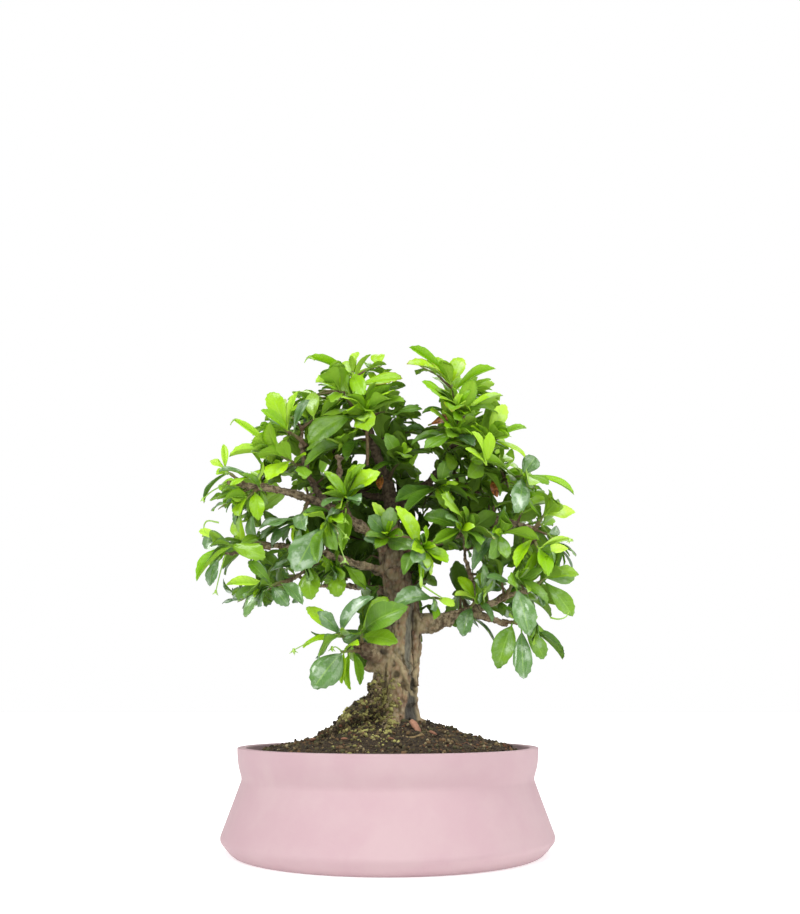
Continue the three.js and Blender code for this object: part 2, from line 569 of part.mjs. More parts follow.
// The others stand round the twig at the golden angle and reach up and out of the crown.
function ruledLeaf(shoot, shootNumber, leafNumber, count, attempt) {
  const draw = draws(shootNumber * 100 + leafNumber);
  const [, to, , , size] = shoot;
  const place = FIRST_LEAF + (LAST_LEAF - FIRST_LEAF) * (leafNumber + 1) / count;
  const root = twigPoint(shoot, Math.min(place, LAST_LEAF));
  const ahead = twigPoint(shoot, 1).sub(twigPoint(shoot, 0)).normalize();
  const across = sideways(ahead);
  const over = ahead.clone().cross(across);
  const angle = leafNumber * GOLDEN_ANGLE + draw() + shootNumber + attempt * TURN_PER_TRY;
  const outward = new THREE.Vector3(to[0], to[1], to[2] - CROWN_MIDDLE).normalize();
  const spread = SPREAD_AT_ROOT - SPREAD_LOSS * place + SPREAD_CHANCE * draw();
  const direction = ahead.clone().multiplyScalar(Math.cos(spread))
    .addScaledVector(across, Math.sin(spread) * Math.cos(angle))
    .addScaledVector(over, Math.sin(spread) * Math.sin(angle))
    .addScaledVector(outward, OUTWARD_PULL);
  direction.z += RISE_CHANCE * (1 - 2 * draw());
  direction.normalize();
  const length = size * (SHORTEST + LENGTH_CHANCE * draw());
  const tip = root.clone().addScaledVector(direction, length);
  const face = outward.clone().add(new THREE.Vector3(0, 0, UPWARD_FACE));
  const roll = TWIST_CHANCE * (2 * draw() - 1);
  return leaf(root, tip, face, roll, length * LEAF_SLIMNESS * (1 - BREADTH_CHANCE * (0.5 - draw())));
}

// A point of the tree as it is seen from the front, moved to the plane through the middle of the tree.
function seenAt(point) {
  const scale = -EYE[1] / (point.y - EYE[1]);
  return [EYE[0] + (point.x - EYE[0]) * scale, EYE[2] + (point.z - EYE[2]) * scale];
}

function insideCrown(blade) {
  return BLADE_CHECKS.every(([place, half, side]) => {
    const point = bladePoint(blade, place, half, side);
    const [x, z] = seenAt(point);
    const nearest = CROWN_ROWS.reduce((best, row) => (
      Math.abs(row[0] - z) < Math.abs(best[0] - z) ? row : best
    ));
    const inRoom = Math.abs(point.y) < CROWN_DEPTH && point.z > CROWN_ROWS[0][0];
    const inRow = x > nearest[1] && x < nearest[2] && z < CROWN_ROWS[CROWN_ROWS.length - 1][0];
    return inRoom && inRow && SEE_THROUGH.every(([gx, gz, radius]) => Math.hypot(x - gx, z - gz) > radius);
  });
}

function withinRoom(blade) {
  return BLADE_CHECKS.every(([place, half, side]) => {
    const point = bladePoint(blade, place, half, side);
    return Math.abs(point.y) < CROWN_DEPTH && Math.abs(point.x) < CROWN_REACH;
  });
}

function boxesMeet(a, b) {
  return [0, 1, 2].every((axis) => a.min[axis] <= b.max[axis] && b.min[axis] <= a.max[axis]);
}

// A leaf is free when, grown by the clearance, it crosses nothing of other shoots or of the wood, and when it
// crosses no leaf of its own shoot away from their roots.
function isFree(blade, shootName, placed) {
  const wide = bladeSolid(blade, CLEARANCE);
  const box = wide.boundingBox();
  const near = placed.filter((piece) => piece.owner !== shootName && boxesMeet(box, piece.box));
  const clear = near.every((piece) => wide.intersect(piece.solid).isEmpty());
  wide.delete();
  if (!clear) {
    return false;
  }
  const bare = bladeSolid(blade, 0);
  const own = placed.filter((piece) => piece.owner === shootName && piece.leaf && boxesMeet(box, piece.box));
  const apart = own.every((piece) => bare.intersect(piece.solid).volume() < ROOT_CROSSING);
  bare.delete();
  return apart;
}

function placeLeaf(leafAt, allowed, shootName, placed) {
  for (let attempt = 0; attempt < LEAF_TRIES; attempt++) {
    const blade = leafAt(attempt);
    if (allowed(blade) && isFree(blade, shootName, placed)) {
      const solid = bladeSolid(blade, 0);
      placed.push({ owner: shootName, leaf: true, solid, box: solid.boundingBox() });
      return;
    }
  }
}

function makeShoots(wood, wideWood) {
  const placed = [{ owner: 'wood', leaf: false, solid: wood, box: wood.boundingBox() }];
  const entries = Object.entries(SHOOTS);
  for (const [name, shoot] of entries) {
    const solid = largestBody(twigSolid(shoot).subtract(wideWood));
    placed.push({ owner: name, leaf: false, solid, box: solid.boundingBox() });
  }
  for (const [name, shoot] of entries) {
    for (const own of shoot[5]) {
      placeLeaf((attempt) => namedLeaf(shoot, own, attempt), withinRoom, name, placed);
    }
  }
  entries.forEach(([name, shoot], number) => {
    const count = shoot[3];
    for (let i = 0; i < count; i++) {
      placeLeaf((attempt) => ruledLeaf(shoot, number, i, count, attempt), insideCrown, name, placed);
    }
  });
  return entries.map(([name]) => {
    const pieces = placed.filter((piece) => piece.owner === name).map((piece) => piece.solid);
    return [name, geometryOf(wasm.Manifold.union(pieces))];
  });
}

// Scene

const group = new THREE.Group();

function add(name, geometry, color, roughness) {
  const material = new THREE.MeshStandardMaterial({ color, roughness, metalness: 0 });
  const mesh = new THREE.Mesh(geometry, material);
  mesh.name = name;
  group.add(mesh);
}

const wood = woodSolid(0);
const wideWood = woodSolid(GAP);

add('pot', makePot(), 0xe8c8cd, 0.6);
add('drainage_mesh', makeScreen(), 0x2b2b2b, 0.7);
add('drainage_gravel', makeGrit(), 0x8d8578, 0.95);
add('soil', makeSoil(wideWood), 0x524735, 0.95);
add('trunk_and_branches', geometryOf(wood), 0x827450, 0.85);
for (const [name, geometry] of makeShoots(wood, wideWood)) {
  add(`spray_${name}`, geometry, 0x4f8a2a, 0.35);
}

export default group;
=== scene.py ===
"""A fukien tea bonsai in a round ceramic pot: leaves, bark, moss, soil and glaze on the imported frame."""

import math
from collections import namedtuple
from itertools import product
import bpy
import numpy as np
from mathutils import Matrix, Vector, noise
from mathutils.bvhtree import BVHTree
from mathutils.kdtree import KDTree


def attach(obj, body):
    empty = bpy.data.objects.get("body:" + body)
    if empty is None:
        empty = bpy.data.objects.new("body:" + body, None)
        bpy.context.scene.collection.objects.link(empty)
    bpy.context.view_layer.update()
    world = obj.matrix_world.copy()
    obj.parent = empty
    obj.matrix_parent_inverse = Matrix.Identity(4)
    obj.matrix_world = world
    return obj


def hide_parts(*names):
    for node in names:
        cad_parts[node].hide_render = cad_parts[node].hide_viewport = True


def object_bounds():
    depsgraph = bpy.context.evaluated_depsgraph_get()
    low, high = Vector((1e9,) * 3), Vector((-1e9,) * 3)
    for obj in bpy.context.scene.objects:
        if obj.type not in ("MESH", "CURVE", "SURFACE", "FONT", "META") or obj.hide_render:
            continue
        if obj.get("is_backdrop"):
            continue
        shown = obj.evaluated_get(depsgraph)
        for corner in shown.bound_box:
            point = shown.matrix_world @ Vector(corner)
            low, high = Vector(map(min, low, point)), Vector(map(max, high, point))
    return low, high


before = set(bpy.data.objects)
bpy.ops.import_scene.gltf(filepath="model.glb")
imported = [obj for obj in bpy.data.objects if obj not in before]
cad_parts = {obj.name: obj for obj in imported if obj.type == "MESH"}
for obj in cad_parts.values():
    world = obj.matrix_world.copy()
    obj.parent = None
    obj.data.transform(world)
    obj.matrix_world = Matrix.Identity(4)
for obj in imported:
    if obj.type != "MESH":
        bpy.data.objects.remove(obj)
CAD_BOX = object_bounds()
MM = 0.001
NOISE_SEED = 7
noise.seed_set(NOISE_SEED)  # without a seed, noise_vector takes one from the clock

# The wood, in millimetres: the trunk's middle and radius at each height, then each limb and root with its
# radius at both ends and its route.
TRUNK = [
    [4, 0, 46, 15], [5, 0, 62, 17], [4, 0, 76, 14.2], [4, 0, 90, 12.8], [6, 0, 106, 12], [8, 0.5, 122, 10],
    [7, 1, 136, 9], [4, 2, 152, 8.1], [1, 3.5, 167, 6.9], [1, 5, 177, 5.4], [2, 7, 187, 4.8],
    [-0.5, 9, 204, 3.9], [-7, 6, 221, 3.1], [-12, 2, 238, 2.5], [-18, 0, 252, 1.8],
]
LIMBS = {
    "arm_left": [5.2, 2.2, [[0, 3, 168], [-16, -7, 177], [-32, -15, 186], [-49, -18, 192], [-65, -20, 196],
        [-79, -22, 198], [-89, -24, 199]]],
    "low_left": [3.9, 1.5, [[-1, 2, 152], [-19, -4, 157], [-35, -8, 161], [-49, -14, 164], [-62, -20, 164],
        [-80, -24, 160], [-88, -26, 159]]],
    "low_left_fork": [2, 1.2, [[-31, -8, 160], [-43, -14, 153], [-54, -20, 145], [-64, -23, 141]]],
    "low_right": [4.4, 1.8, [[8, 1, 124], [23, 0, 123], [34, -4, 127], [45, -8, 129], [56, -12, 125],
        [66, -16, 122]]],
    "low_right_fork": [3, 1.5, [[42, -7, 129], [55, -6, 133], [65, -6, 137], [79, -8, 141]]],
    "stump_left": [5.5, 3.6, [[2, -5, 104], [-9, -13, 107], [-16, -17, 109]]],
    "arm_right": [4, 1.8, [[3, 4, 160], [24, 8, 169], [44, 6, 177], [63, 0, 181], [84, -4, 176]]],
    "crown_right": [3.6, 1.6, [[2, 7, 186], [18, 10, 201], [33, 8, 216], [40, 4, 230], [42, 0, 244]]],
    "spur_left": [3, 1.5, [[-33, -15, 187], [-43, -10, 203], [-48, -10, 219], [-49, -11, 233]]],
    "spur_middle": [2.4, 2, [[-22, -12, 181], [-26, -19, 195], [-27, -22, 213]]],
    "front_twig": [2, 1.3, [[1, 0, 170], [13, -14, 168], [16, -21, 161]]],
    "riser": [1.8, 1.3, [[49, -9, 129], [46, -4, 147], [44, 4, 162], [44, 6, 176]]],
    "back": [4.2, 1.8, [[3, 4, 156], [8, 24, 166], [14, 46, 178], [18, 62, 190]]],
    "back_left": [3.2, 1.6, [[0, 8, 196], [-22, 28, 204], [-42, 48, 208], [-56, 58, 206]]],
    "back_right": [2.8, 1.5, [[22, 10, 203], [44, 30, 206], [62, 46, 206]]],
    "back_low_left": [3, 1.5, [[3, 5, 140], [-14, 26, 146], [-34, 46, 150], [-48, 56, 152]]],
    "back_low_right": [2.6, 1.4, [[34, -4, 127], [46, 20, 133], [62, 42, 139]]],
    "root_left": [7, 3.6, [[-2, -4, 83], [-16, -9, 74], [-36, -14, 59]]],
    "root_front": [6, 3, [[4, -8, 72], [1, -21, 65], [-3, -32, 58]]],
    "root_right": [5.6, 3, [[12, -3, 70], [24, -8, 62], [35, -11, 54]]],
    "root_back": [6, 3, [[4, 9, 74], [8, 23, 65], [13, 34, 57]]],
    "root_back_left": [6, 3, [[-4, 6, 74], [-19, 17, 65], [-29, 25, 58]]],
}
# The trunk's flutes: how deep they are, where they end, over what height they fade, and how they turn. Each
# wave round the trunk has its share of the depth, its number of flutes and the way it turns.
FLUTE_DEPTH = 0.11
FLUTE_TOP = 172
FLUTE_FADE = 40
FLUTE_TURN = 20
FLUTE_WAVES = ((0.6, 3, 1), (0.4, 5, -1))

# The leafy shoots: where the twig leaves the wood, where it ends, how far it arches up, how many leaves the
# rule adds, how long they are, and the leaves that stand out: place on the twig, tip, width.
Shoot = namedtuple("Shoot", "start end arch count size own")
SHOOT_ROWS = {
    "crown_left_top": [[-18, 0, 251], [-21, -6, 268], 0, 3, 22, [[0.8, -47, -12, 275, 5],
        [1, -18, -6, 280, 6], [0.9, -28, -2, 275, 6], [1, -14, -24, 249, 9], [0.5, 8, -10, 263, 10]]],
    "crown_left_side": [[-18, 0, 245], [-29, -10, 257], 0, 3, 24, [[1, -41, -18, 258, 10],
        [0.7, -32, -24, 246, 8]]],
    "crown_left_front": [[-14, 1, 236], [-13, -14, 240], 0, 3, 25, [[0.9, 9, -26, 245, 14],
        [1, -44, -28, 226, 17]]],
    "inner_left": [[-11, 3, 230], [-25, -10, 223], 1, 4, 24, [[0.3, -24, -22, 214, 8],
        [0.7, -46, -16, 220, 9], [1, -46, -24, 211, 7]]],
    "upper_left_fan": [[-48, -11, 224], [-58, -13, 231], 1, 2, 23, [[0.9, -67, -16, 253, 10],
        [0.8, -71, -18, 242, 6], [1, -51, -10, 256, 4], [0.6, -46, -14, 250, 5]]],
    "upper_left_low": [[-43, -10, 203], [-62, -20, 216], 2, 3, 22, [[1, -87, -20, 236, 4],
        [1, -60, -16, 224, 6], [0.5, -45, -26, 214, 7], [0.6, -65, -32, 199, 11], [0.4, -44, -32, 200, 9],
        [0.9, -88, -24, 214, 7]]],
    "far_left_tip": [[-79, -22, 198], [-90, -24, 206], 0, 1, 19, [[1, -98, -24, 211, 6],
        [1, -91, -22, 221, 4], [0.7, -93, -30, 202, 7], [0.4, -86, -31, 196, 5], [0.8, -103, -24, 189, 3]]],
    "far_left_hanging": [[-70, -21, 197], [-78, -25, 189], 0, 1, 20, [[1, -85, -28, 184, 6],
        [0.9, -84, -27, 175, 5], [0.4, -70, -28, 177, 8]]],
    "left_mid_arched": [[-44, -17, 190], [-49, -24, 176], 0, 3, 23, [[0.9, -70, -30, 173, 12],
        [1, -65, -24, 164, 9]]],
    "left_front_hanging": [[-31, -14, 185], [-32, -34, 175], 2, 1, 23, [[0.8, -47, -50, 149, 17],
        [1, -37, -46, 152, 6], [0.5, -44, -36, 182, 6]]],
    "left_far_low": [[-66, -21, 163], [-87, -26, 163], 1, 1, 21, [[1, -65, -34, 156, 10],
        [1, -103, -24, 172, 5], [0.9, -103, -28, 144, 6], [1, -92, -34, 142, 9], [0.7, -71, -20, 170, 8]]],
    "left_low_tips": [[-54, -20, 145], [-64, -26, 141], 0, 1, 21, [[0.9, -87, -28, 142, 6],
        [0.8, -75, -28, 155, 6], [1, -77, -30, 125, 10], [0.9, -53, -34, 131, 8], [0.4, -46, -30, 133, 7]]],
    "left_under_big": [[-36, -9, 161], [-43, -18, 153], 0, 1, 22, [[0.9, -42, -26, 135, 13],
        [1, -65, -18, 151, 8]]],
    "left_under_mid": [[-23, -5, 158], [-28, -14, 153], 0, 2, 21, [[1, -27, -22, 136, 10],
        [0.5, -12, -14, 141, 8]]],
    "stump_up": [[-15, -17, 109], [-26, -32, 115], 0, 1, 21, [[1, -43, -32, 130, 8], [1, -35, -42, 126, 8],
        [0.9, -11, -44, 135, 10], [0.8, -45, -34, 110, 8]]],
    "stump_right": [[-14, -16, 110], [-14, -27, 117], 0, 0, 21, [[1, -1, -28, 136, 9], [0.9, 6, -40, 129, 14],
        [0.6, 5, -38, 111, 10]]],
    "stump_low": [[-15, -17, 107], [-24, -32, 106], 0, 0, 21, [[1, -38, -42, 87, 16], [0.9, -24, -34, 89, 5],
        [0.6, -20, -33, 86, 5], [0.4, -14, -28, 89, 5], [0.9, -15, -43, 110, 6]]],
    "centre_left_bright": [[-24, -11, 181], [-22, -32, 187], 2, 3, 22, [[1, -5, -42, 201, 11],
        [1, -34, -36, 203, 6], [0.4, -24, -40, 160, 8]]],
    "centre_v": [[0, 0, 165], [-1, -22, 169], 1, 2, 20, [[0.9, -8, -32, 186, 6], [0.8, 8, -30, 181, 4]]],
    "front_twig_leaves": [[15, -19, 162], [18, -30, 161], 0, 0, 20, [[0.8, 5, -38, 183, 8],
        [1, 32, -36, 153, 9], [0.5, 8, -35, 149, 8], [0.4, 18, -28, 143, 3], [1, 23, -34, 148, 3]]],
    "trunk_front_leaf": [[10, 0, 142], [27, -22, 135], -2, 0, 20, [[0.9, 4, -32, 133, 13],
        [0.94, 36, -24, 131, 5]]],
    "low_right_inner": [[44, -8, 129], [49, -15, 136], 0, 1, 21, [[0.9, 36, -22, 137, 6],
        [0.8, 39, -17, 148, 7], [1, 51, -16, 150, 6], [0.8, 57, -24, 124, 6], [0.4, 40, -20, 116, 9]]],
    "low_right_hanging": [[64, -15, 123], [73, -21, 121], 0, 0, 21, [[0.4, 58, -26, 98, 12],
        [0.9, 71, -33, 92, 10], [1, 84, -24, 103, 9], [0.9, 95, -20, 103, 6], [0.6, 64, -22, 131, 6]]],
    "low_right_glossy": [[65, -6, 137], [69, -18, 146], 0, 2, 22, [[0.9, 74, -38, 117, 12],
        [1, 87, -24, 134, 8], [0.7, 55, -25, 148, 7]]],
    "right_end_low": [[78, -8, 141], [87, -12, 148], 0, 1, 21, [[0.8, 101, -16, 126, 10],
        [1, 105, -14, 151, 9], [0.4, 84, -20, 131, 5]]],
    "right_end_mid": [[79, -3, 177], [84, -15, 160], 0, 1, 21, [[1, 99, -18, 163, 7], [0.7, 86, -27, 147, 9],
        [0.4, 69, -26, 152, 7], [0.8, 103, -12, 169, 3]]],
    "right_end_high": [[82, -4, 176], [88, -9, 184], 0, 1, 20, [[0.9, 104, -14, 184, 9],
        [0.5, 75, -20, 192, 8]]],
    "right_mid_grey": [[56, 3, 180], [62, -16, 171], 1, 3, 22, [[0.9, 64, -26, 157, 7], [1, 59, -28, 145, 6],
        [0.6, 46, -22, 153, 8]]],
    "centre_right_big": [[42, 6, 176], [40, -18, 173], 1, 3, 22, [[0.9, 31, -34, 191, 15],
        [0.7, 24, -28, 164, 6], [0.8, 21, -20, 182, 10]]],
    "right_shoulder_hang": [[60, 44, 206], [77, -14, 205], 4, 2, 22, [[0.9, 71, -30, 184, 11],
        [0.75, 47, -24, 213, 6], [1, 89, -18, 199, 8], [0.97, 105, -14, 196, 8], [0.9, 84, -6, 218, 10]]],
    "right_shoulder_top": [[38, 5, 226], [61, -8, 227], 1, 3, 22, [[0.9, 77, -14, 216, 8],
        [0.8, 66, -14, 246, 9], [1, 79, -6, 235, 5], [0.6, 50, -24, 232, 9]]],
    "crown_right_top": [[42, 0, 243], [35, -6, 262], 0, 1, 21, [[1, 12, -8, 283, 6], [0.9, 12, -16, 272, 10],
        [0.9, 42, -12, 274, 10], [1, 26, -2, 279, 5], [0.7, 62, -4, 272, 6]]],
    "crown_right_mid": [[41, 3, 236], [39, -12, 242], 0, 2, 22, [[0.8, 19, -20, 258, 9],
        [0.9, 46, -19, 253, 5], [1, 62, -14, 245, 10], [0.8, 43, -24, 238, 6], [0.6, 66, -4, 255, 5]]],
    "crown_right_low": [[36, 6, 222], [38, -12, 229], 0, 3, 23, [[1, 20, -24, 219, 10],
        [0.9, 47, -25, 221, 8], [0.6, 14, -20, 226, 7]]],
    "centre_dark": [[-1, 9, 206], [6, -8, 214], 1, 6, 23, [[1, -1, -17, 228, 8], [0.9, -10, -16, 209, 7]]],
    "centre_dark_right": [[18, 10, 201], [29, -8, 199], 1, 6, 23, [[0.7, 4, -16, 190, 8],
        [0.9, 8, -19, 182, 6], [1, 32, -14, 213, 7]]],
    "back_crown_left": [[-17, 1, 249], [-24, 21, 262], 2, 5, 25, []],
    "back_crown_right": [[41, 1, 241], [46, 22, 258], 2, 5, 25, []],
    "back_crown_middle": [[-6, 6, 220], [-4, 30, 238], 3, 6, 25, []],
    "back_left_high": [[-30, 36, 206], [-36, 36, 234], 0, 6, 25, []],
    "back_left_outer": [[-54, 57, 206], [-76, 56, 212], 2, 6, 25, []],
    "back_left_behind": [[-44, 50, 208], [-46, 72, 222], 2, 5, 25, []],
    "back_left_low": [[-47, 55, 152], [-68, 58, 158], 2, 6, 25, []],
    "back_left_low_behind": [[-30, 42, 149], [-26, 68, 158], 2, 5, 25, []],
    "back_middle_high": [[15, 50, 181], [4, 58, 206], 0, 6, 25, []],
    "back_middle_low": [[17, 60, 189], [32, 72, 180], 2, 5, 25, []],
    "back_inner_left": [[8, 24, 166], [-18, 34, 176], 2, 5, 25, []],
    "back_right_high": [[43, 29, 206], [36, 38, 230], 0, 6, 25, []],
    "back_right_outer": [[61, 45, 206], [80, 42, 216], 2, 6, 25, []],
    "back_right_behind": [[52, 38, 206], [50, 68, 214], 2, 5, 25, []],
    "back_right_low": [[60, 40, 138], [82, 40, 148], 2, 6, 25, []],
    "back_right_low_behind": [[47, 22, 133], [40, 52, 146], 2, 5, 25, []],
    "side_right": [[62, 1, 181], [78, 20, 180], 2, 5, 25, []],
    "side_left_high": [[-62, -19, 195], [-78, 8, 204], 2, 5, 25, []],
    "side_left_low": [[-60, -19, 164], [-82, 4, 168], 2, 5, 25, []],
}
SHOOTS = {name: Shoot(*row) for name, row in SHOOT_ROWS.items()}
# What each leaf that stands out looks like: y young, b bright, m middle, d dark with a little painted shade,
# e in deep shade, g grey and glossy with painted sheen, w whitish with painted sheen and gloss, p pale with
# painted sheen, r red at the edge.
LEAF_LOOKS = {
    "crown_left_top": "bybbr", "crown_left_side": "ym", "crown_left_front": "me", "inner_left": "ddd",
    "upper_left_fan": "bbyg", "upper_left_low": "ymbbmy", "far_left_tip": "yybbd",
    "far_left_hanging": "ggb", "left_mid_arched": "gg", "left_front_hanging": "gdd",
    "left_far_low": "mybgm", "left_low_tips": "ympgg", "left_under_big": "mg", "left_under_mid": "mm",
    "stump_up": "bgwb", "stump_right": "mdm", "stump_low": "gbbmb", "centre_left_bright": "bmm",
    "centre_v": "yb", "front_twig_leaves": "bbdyy", "trunk_front_leaf": "gy", "low_right_inner": "ybmgg",
    "low_right_hanging": "dgddd", "low_right_glossy": "gdg", "right_end_low": "dmg",
    "right_end_mid": "ybby", "right_end_high": "ym", "right_mid_grey": "dgg", "centre_right_big": "mmd",
    "right_shoulder_hang": "wmmbg", "right_shoulder_top": "bybb", "crown_right_top": "brbbb",
    "crown_right_mid": "bbebb", "crown_right_low": "mwd", "centre_dark": "me", "centre_dark_right": "ddd",
}
# Youth, greyness, rust and shade of each look.
LOOKS = {
    "y": (1.0, 0.0, 0.0, 0.0), "b": (0.72, 0.0, 0.0, 0.0), "m": (0.38, 0.1, 0.0, 0.0),
    "d": (0.12, 0.1, 0.0, 0.25), "e": (0.0, 0.0, 0.0, 0.75), "g": (0.2, 0.75, 0.0, 0.0),
    "w": (0.3, 1.0, 0.0, 0.0), "p": (0.5, 1.0, 0.15, 0.0), "r": (0.62, 0.0, 0.6, 0.0),
}

# The leaves' rule, as the frame has it.
GOLDEN_ANGLE = 2.39996
FIRST_LEAF = 0.35
LAST_LEAF = 0.95
BLADE = 0.7
YOUNG_TIP = (0.96, 0.28)
GROWN_TIP = (0.96, 0.27)
BROAD_TIP = (0.97, 0.24)
GROWN_LENGTH = 25
BROAD_LENGTH = 33
LEAF_SLIMNESS = 0.56
ARCH = 0.07
FOLD = 0.28
LEAF_TRIES = 14
DEPTH_SHIFTS = (0, -4, 4, -8, 8, -12, 12)
ROLLS = (0, 0.5)
TURN_PER_TRY = 0.9
FRONT_FACE = (0.15, -0.8, 0.65)
FRONT_SWAY = 0.35
UPWARD_FACE = 0.6
SPREAD_AT_ROOT = 1.1
SPREAD_LOSS = 0.5
SPREAD_CHANCE = 0.3
OUTWARD_PULL = 0.3
RISE_CHANCE = 0.15
SHORTEST = 0.72
LENGTH_CHANCE = 0.5
TWIST_CHANCE = 0.45
BREADTH_CHANCE = 0.25
FRONT_BREADTH = 1.2
CROWN_MIDDLE = 175
CORNER_REACH = 0.05
DRAW_PRIME = 2147483647
DRAW_FACTOR = 48271
DRAW_START = 104729

# The crown as seen from the front: the eye, half its depth, its left and right edge at each height, and then
# the gaps that one sees through: across, up, radius.
EYE = (6.5, -560, 80)
CROWN_DEPTH = 88
CROWN_ROWS = [
    [96, -48, 10], [104, -48, 84], [113, -46, 95], [121, -45, 92], [130, -84, 102], [139, -100, 103],
    [147, -106, 107], [155, -104, 109], [164, -105, 108], [173, -107, 98], [182, -90, 98], [190, -107, 100],
    [198, -103, 94], [208, -101, 83], [217, -96, 74], [226, -92, 72], [235, -82, 71], [244, -72, 68],
    [255, -62, 66], [264, -42, 62], [274, -40, 40], [282, -22, 18],
]
SEE_THROUGH = [
    [14, 257, 6], [24, 252, 6], [21, 219, 4], [32, 154, 6], [31, 142, 6], [-20, 136, 5], [-33, 134, 4],
    [-60, 204, 4], [-43, 233, 3], [-64, 171, 3], [-54, 152, 4], [-80, 150, 4], [-86, 228, 5], [42, 160, 3],
    [-30, 110, 5], [30, 112, 8], [-50, 196, 3],
    [-21, 234, 1.5], [-9, 236, 2], [-57, 219, 2], [-63, 230, 2], [-37, 213, 2.2], [-64, 202, 4],
    [-16, 185, 2.2], [-16, 215, 1.5], [1, 202, 1.5], [-78, 211, 3], [-81, 215, 3], [-85, 206, 2],
    [-59, 189, 3.5], [-68, 191, 3], [-51, 188, 2.5], [-62, 174, 3.5], [-69, 159, 2.5], [-86, 156, 5],
    [-53, 153, 3], [-31, 141, 5], [-24, 143, 5], [-40, 141, 4], [-20, 122, 3.5], [-37, 120, 3.5],
    [-9, 109, 1.5], [-25, 99, 4], [-100, 136, 5], [-58, 125, 9], [-38, 126, 9], [-70, 124, 9], [-24, 130, 6],
    [38, 159, 4.5], [41, 148, 4.5], [33, 132, 3.5], [22, 142, 2.5], [68, 150, 2.5], [59, 139, 2.2],
    [60, 127, 2], [88, 131, 4.5], [69, 173, 3.5], [33, 176, 2], [24, 185, 2], [51, 157, 1.5], [30, 182, 1.5],
    [22, 210, 4.5], [13, 231, 2.2], [20, 241, 2.5], [21, 198, 1.5], [71, 228, 2.5], [29, 225, 2.5],
    [33, 209, 1.6], [64, 195, 2], [21, 106, 5], [54, 114, 5], [46, 114, 5], [96, 136, 4], [81, 148, 2.2],
    [26, 116, 5], [40, 110, 5], [3, 277, 5], [11, 272, 4], [14, 265, 3.5], [13, 281, 3.5],
]


# Seeded chance

def draws(seed):
    """A stream of numbers from 0 to 1 for each seed."""
    state = (seed + 1) * DRAW_START % DRAW_PRIME

    def draw():
        nonlocal state
        state = state * DRAW_FACTOR % DRAW_PRIME
        return state / DRAW_PRIME

    return draw


# Each thing that is strewn or varied has a stream of its own.
CRUMB_SEED = 900
MOSS_SEED = 901
LITTER_SEED = 902
CHIP_SEED = 950
CALYX_SEED = 3000
LONE_LEAF_SEED = 3100
SIDE_TWIG_SEED = 5000
SIDE_LEAF_SEED = 6000
FRAME_LEAF_SEED = 7000
MORE_LEAF_SEED = 9000
BLADE_SEED = 11000
ANY_TURN = 6.3


def clamp(value):
    """The value, kept between 0 and 1."""
    return min(1, max(0, value))


def ease(value, low, high):
    """0 below low, 1 above high, smooth between them."""
    t = clamp((value - low) / (high - low))
    return t * t * (3 - 2 * t)


# Shapes

class Shape:
    """Points and faces of one piece, in millimetres, with what its finish is told at each point."""

    def __init__(self):
        self.points = []
        self.faces = []
        self.finishes = []
        self.told = {}

    def add(self, points, faces, finish=0, **told):
        """More points and faces. What is told is one value for all of them, or a list with one for each."""
        start = len(self.points)
        self.points.extend(points)
        self.faces.extend([[start + corner for corner in face] for face in faces])
        self.finishes.extend([finish] * len(faces))
        for name, value in told.items():
            values = value if isinstance(value, list) else [value] * len(points)
            self.told.setdefault(name, []).extend(values)

    def piece(self, name, finishes, replaced=(), smooth_below=50):
        """The finished object, riding on the frame."""
        mesh = bpy.data.meshes.new(name)
        mesh.from_pydata([[value * MM for value in point] for point in self.points], [], self.faces)
        for label, values in self.told.items():
            kind, field = ("FLOAT_VECTOR", "vector") if isinstance(values[0], tuple) else ("FLOAT", "value")
            layer = mesh.attributes.new(label, kind, "POINT")
            layer.data.foreach_set(field, np.array(values, np.float32).ravel())
        for finish in finishes:
            mesh.materials.append(finish)
        mesh.polygons.foreach_set("material_index", self.finishes)
        mesh.shade_smooth()
        mesh.set_sharp_from_angle(angle=math.radians(smooth_below))
        mesh.update()
        made = bpy.data.objects.new(name, mesh)
        bpy.context.scene.collection.objects.link(made)
        return settle(made, replaced)


def settle(made, replaced=()):
    """Says what a piece rides on, and the plain solids that it stands for."""
    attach(made, "root")
    if replaced:
        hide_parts(*replaced)
    return made


NEARLY_UP = (0.3, 0.2, 1)
NEARLY_SIDEWAYS = (1, 0.1, 0)
TOO_STEEP = 0.35


def square_to(ahead):
    """A direction square to the one given, nearly level unless the one given is steep."""
    level = Vector(NEARLY_UP).cross(ahead)
    if level.length < TOO_STEEP:
        level = Vector(NEARLY_SIDEWAYS).cross(ahead)
    return level.normalized()


def spline(points, count):
    """Points at even steps along a smooth curve through the given rows of numbers."""
    rows = np.array(points, float)
    padded = np.vstack([2 * rows[0] - rows[1], rows, 2 * rows[-1] - rows[-2]])
    places = np.linspace(0, len(rows) - 1, count)
    found = []
    for place in places:
        start = min(int(place), len(rows) - 2)
        t = place - start
        a, b, c, d = padded[start:start + 4]
        bend = 2 * a - 5 * b + 4 * c - d
        found.append(0.5 * (2 * b + (c - a) * t + bend * t * t + (3 * b - a - 3 * c + d) * t ** 3))
    return np.array(found)


def tube(route, radii, sides):
    """A closed round rod along a route."""
    route = [Vector(point) for point in route]
    across = square_to((route[1] - route[0]).normalized())
    points = []
    for i, middle in enumerate(route):
        ahead = (route[min(i + 1, len(route) - 1)] - route[max(i - 1, 0)]).normalized()
        across = (across - ahead * across.dot(ahead)).normalized()
        over = ahead.cross(across)
        for angle in angles(sides):
            points.append(middle + radii[i] * (across * math.cos(angle) + over * math.sin(angle)))
    return points, closed_rings(len(route), sides)


def angles(sides):
    """Even steps round a circle."""
    return [side / sides * math.tau for side in range(sides)]


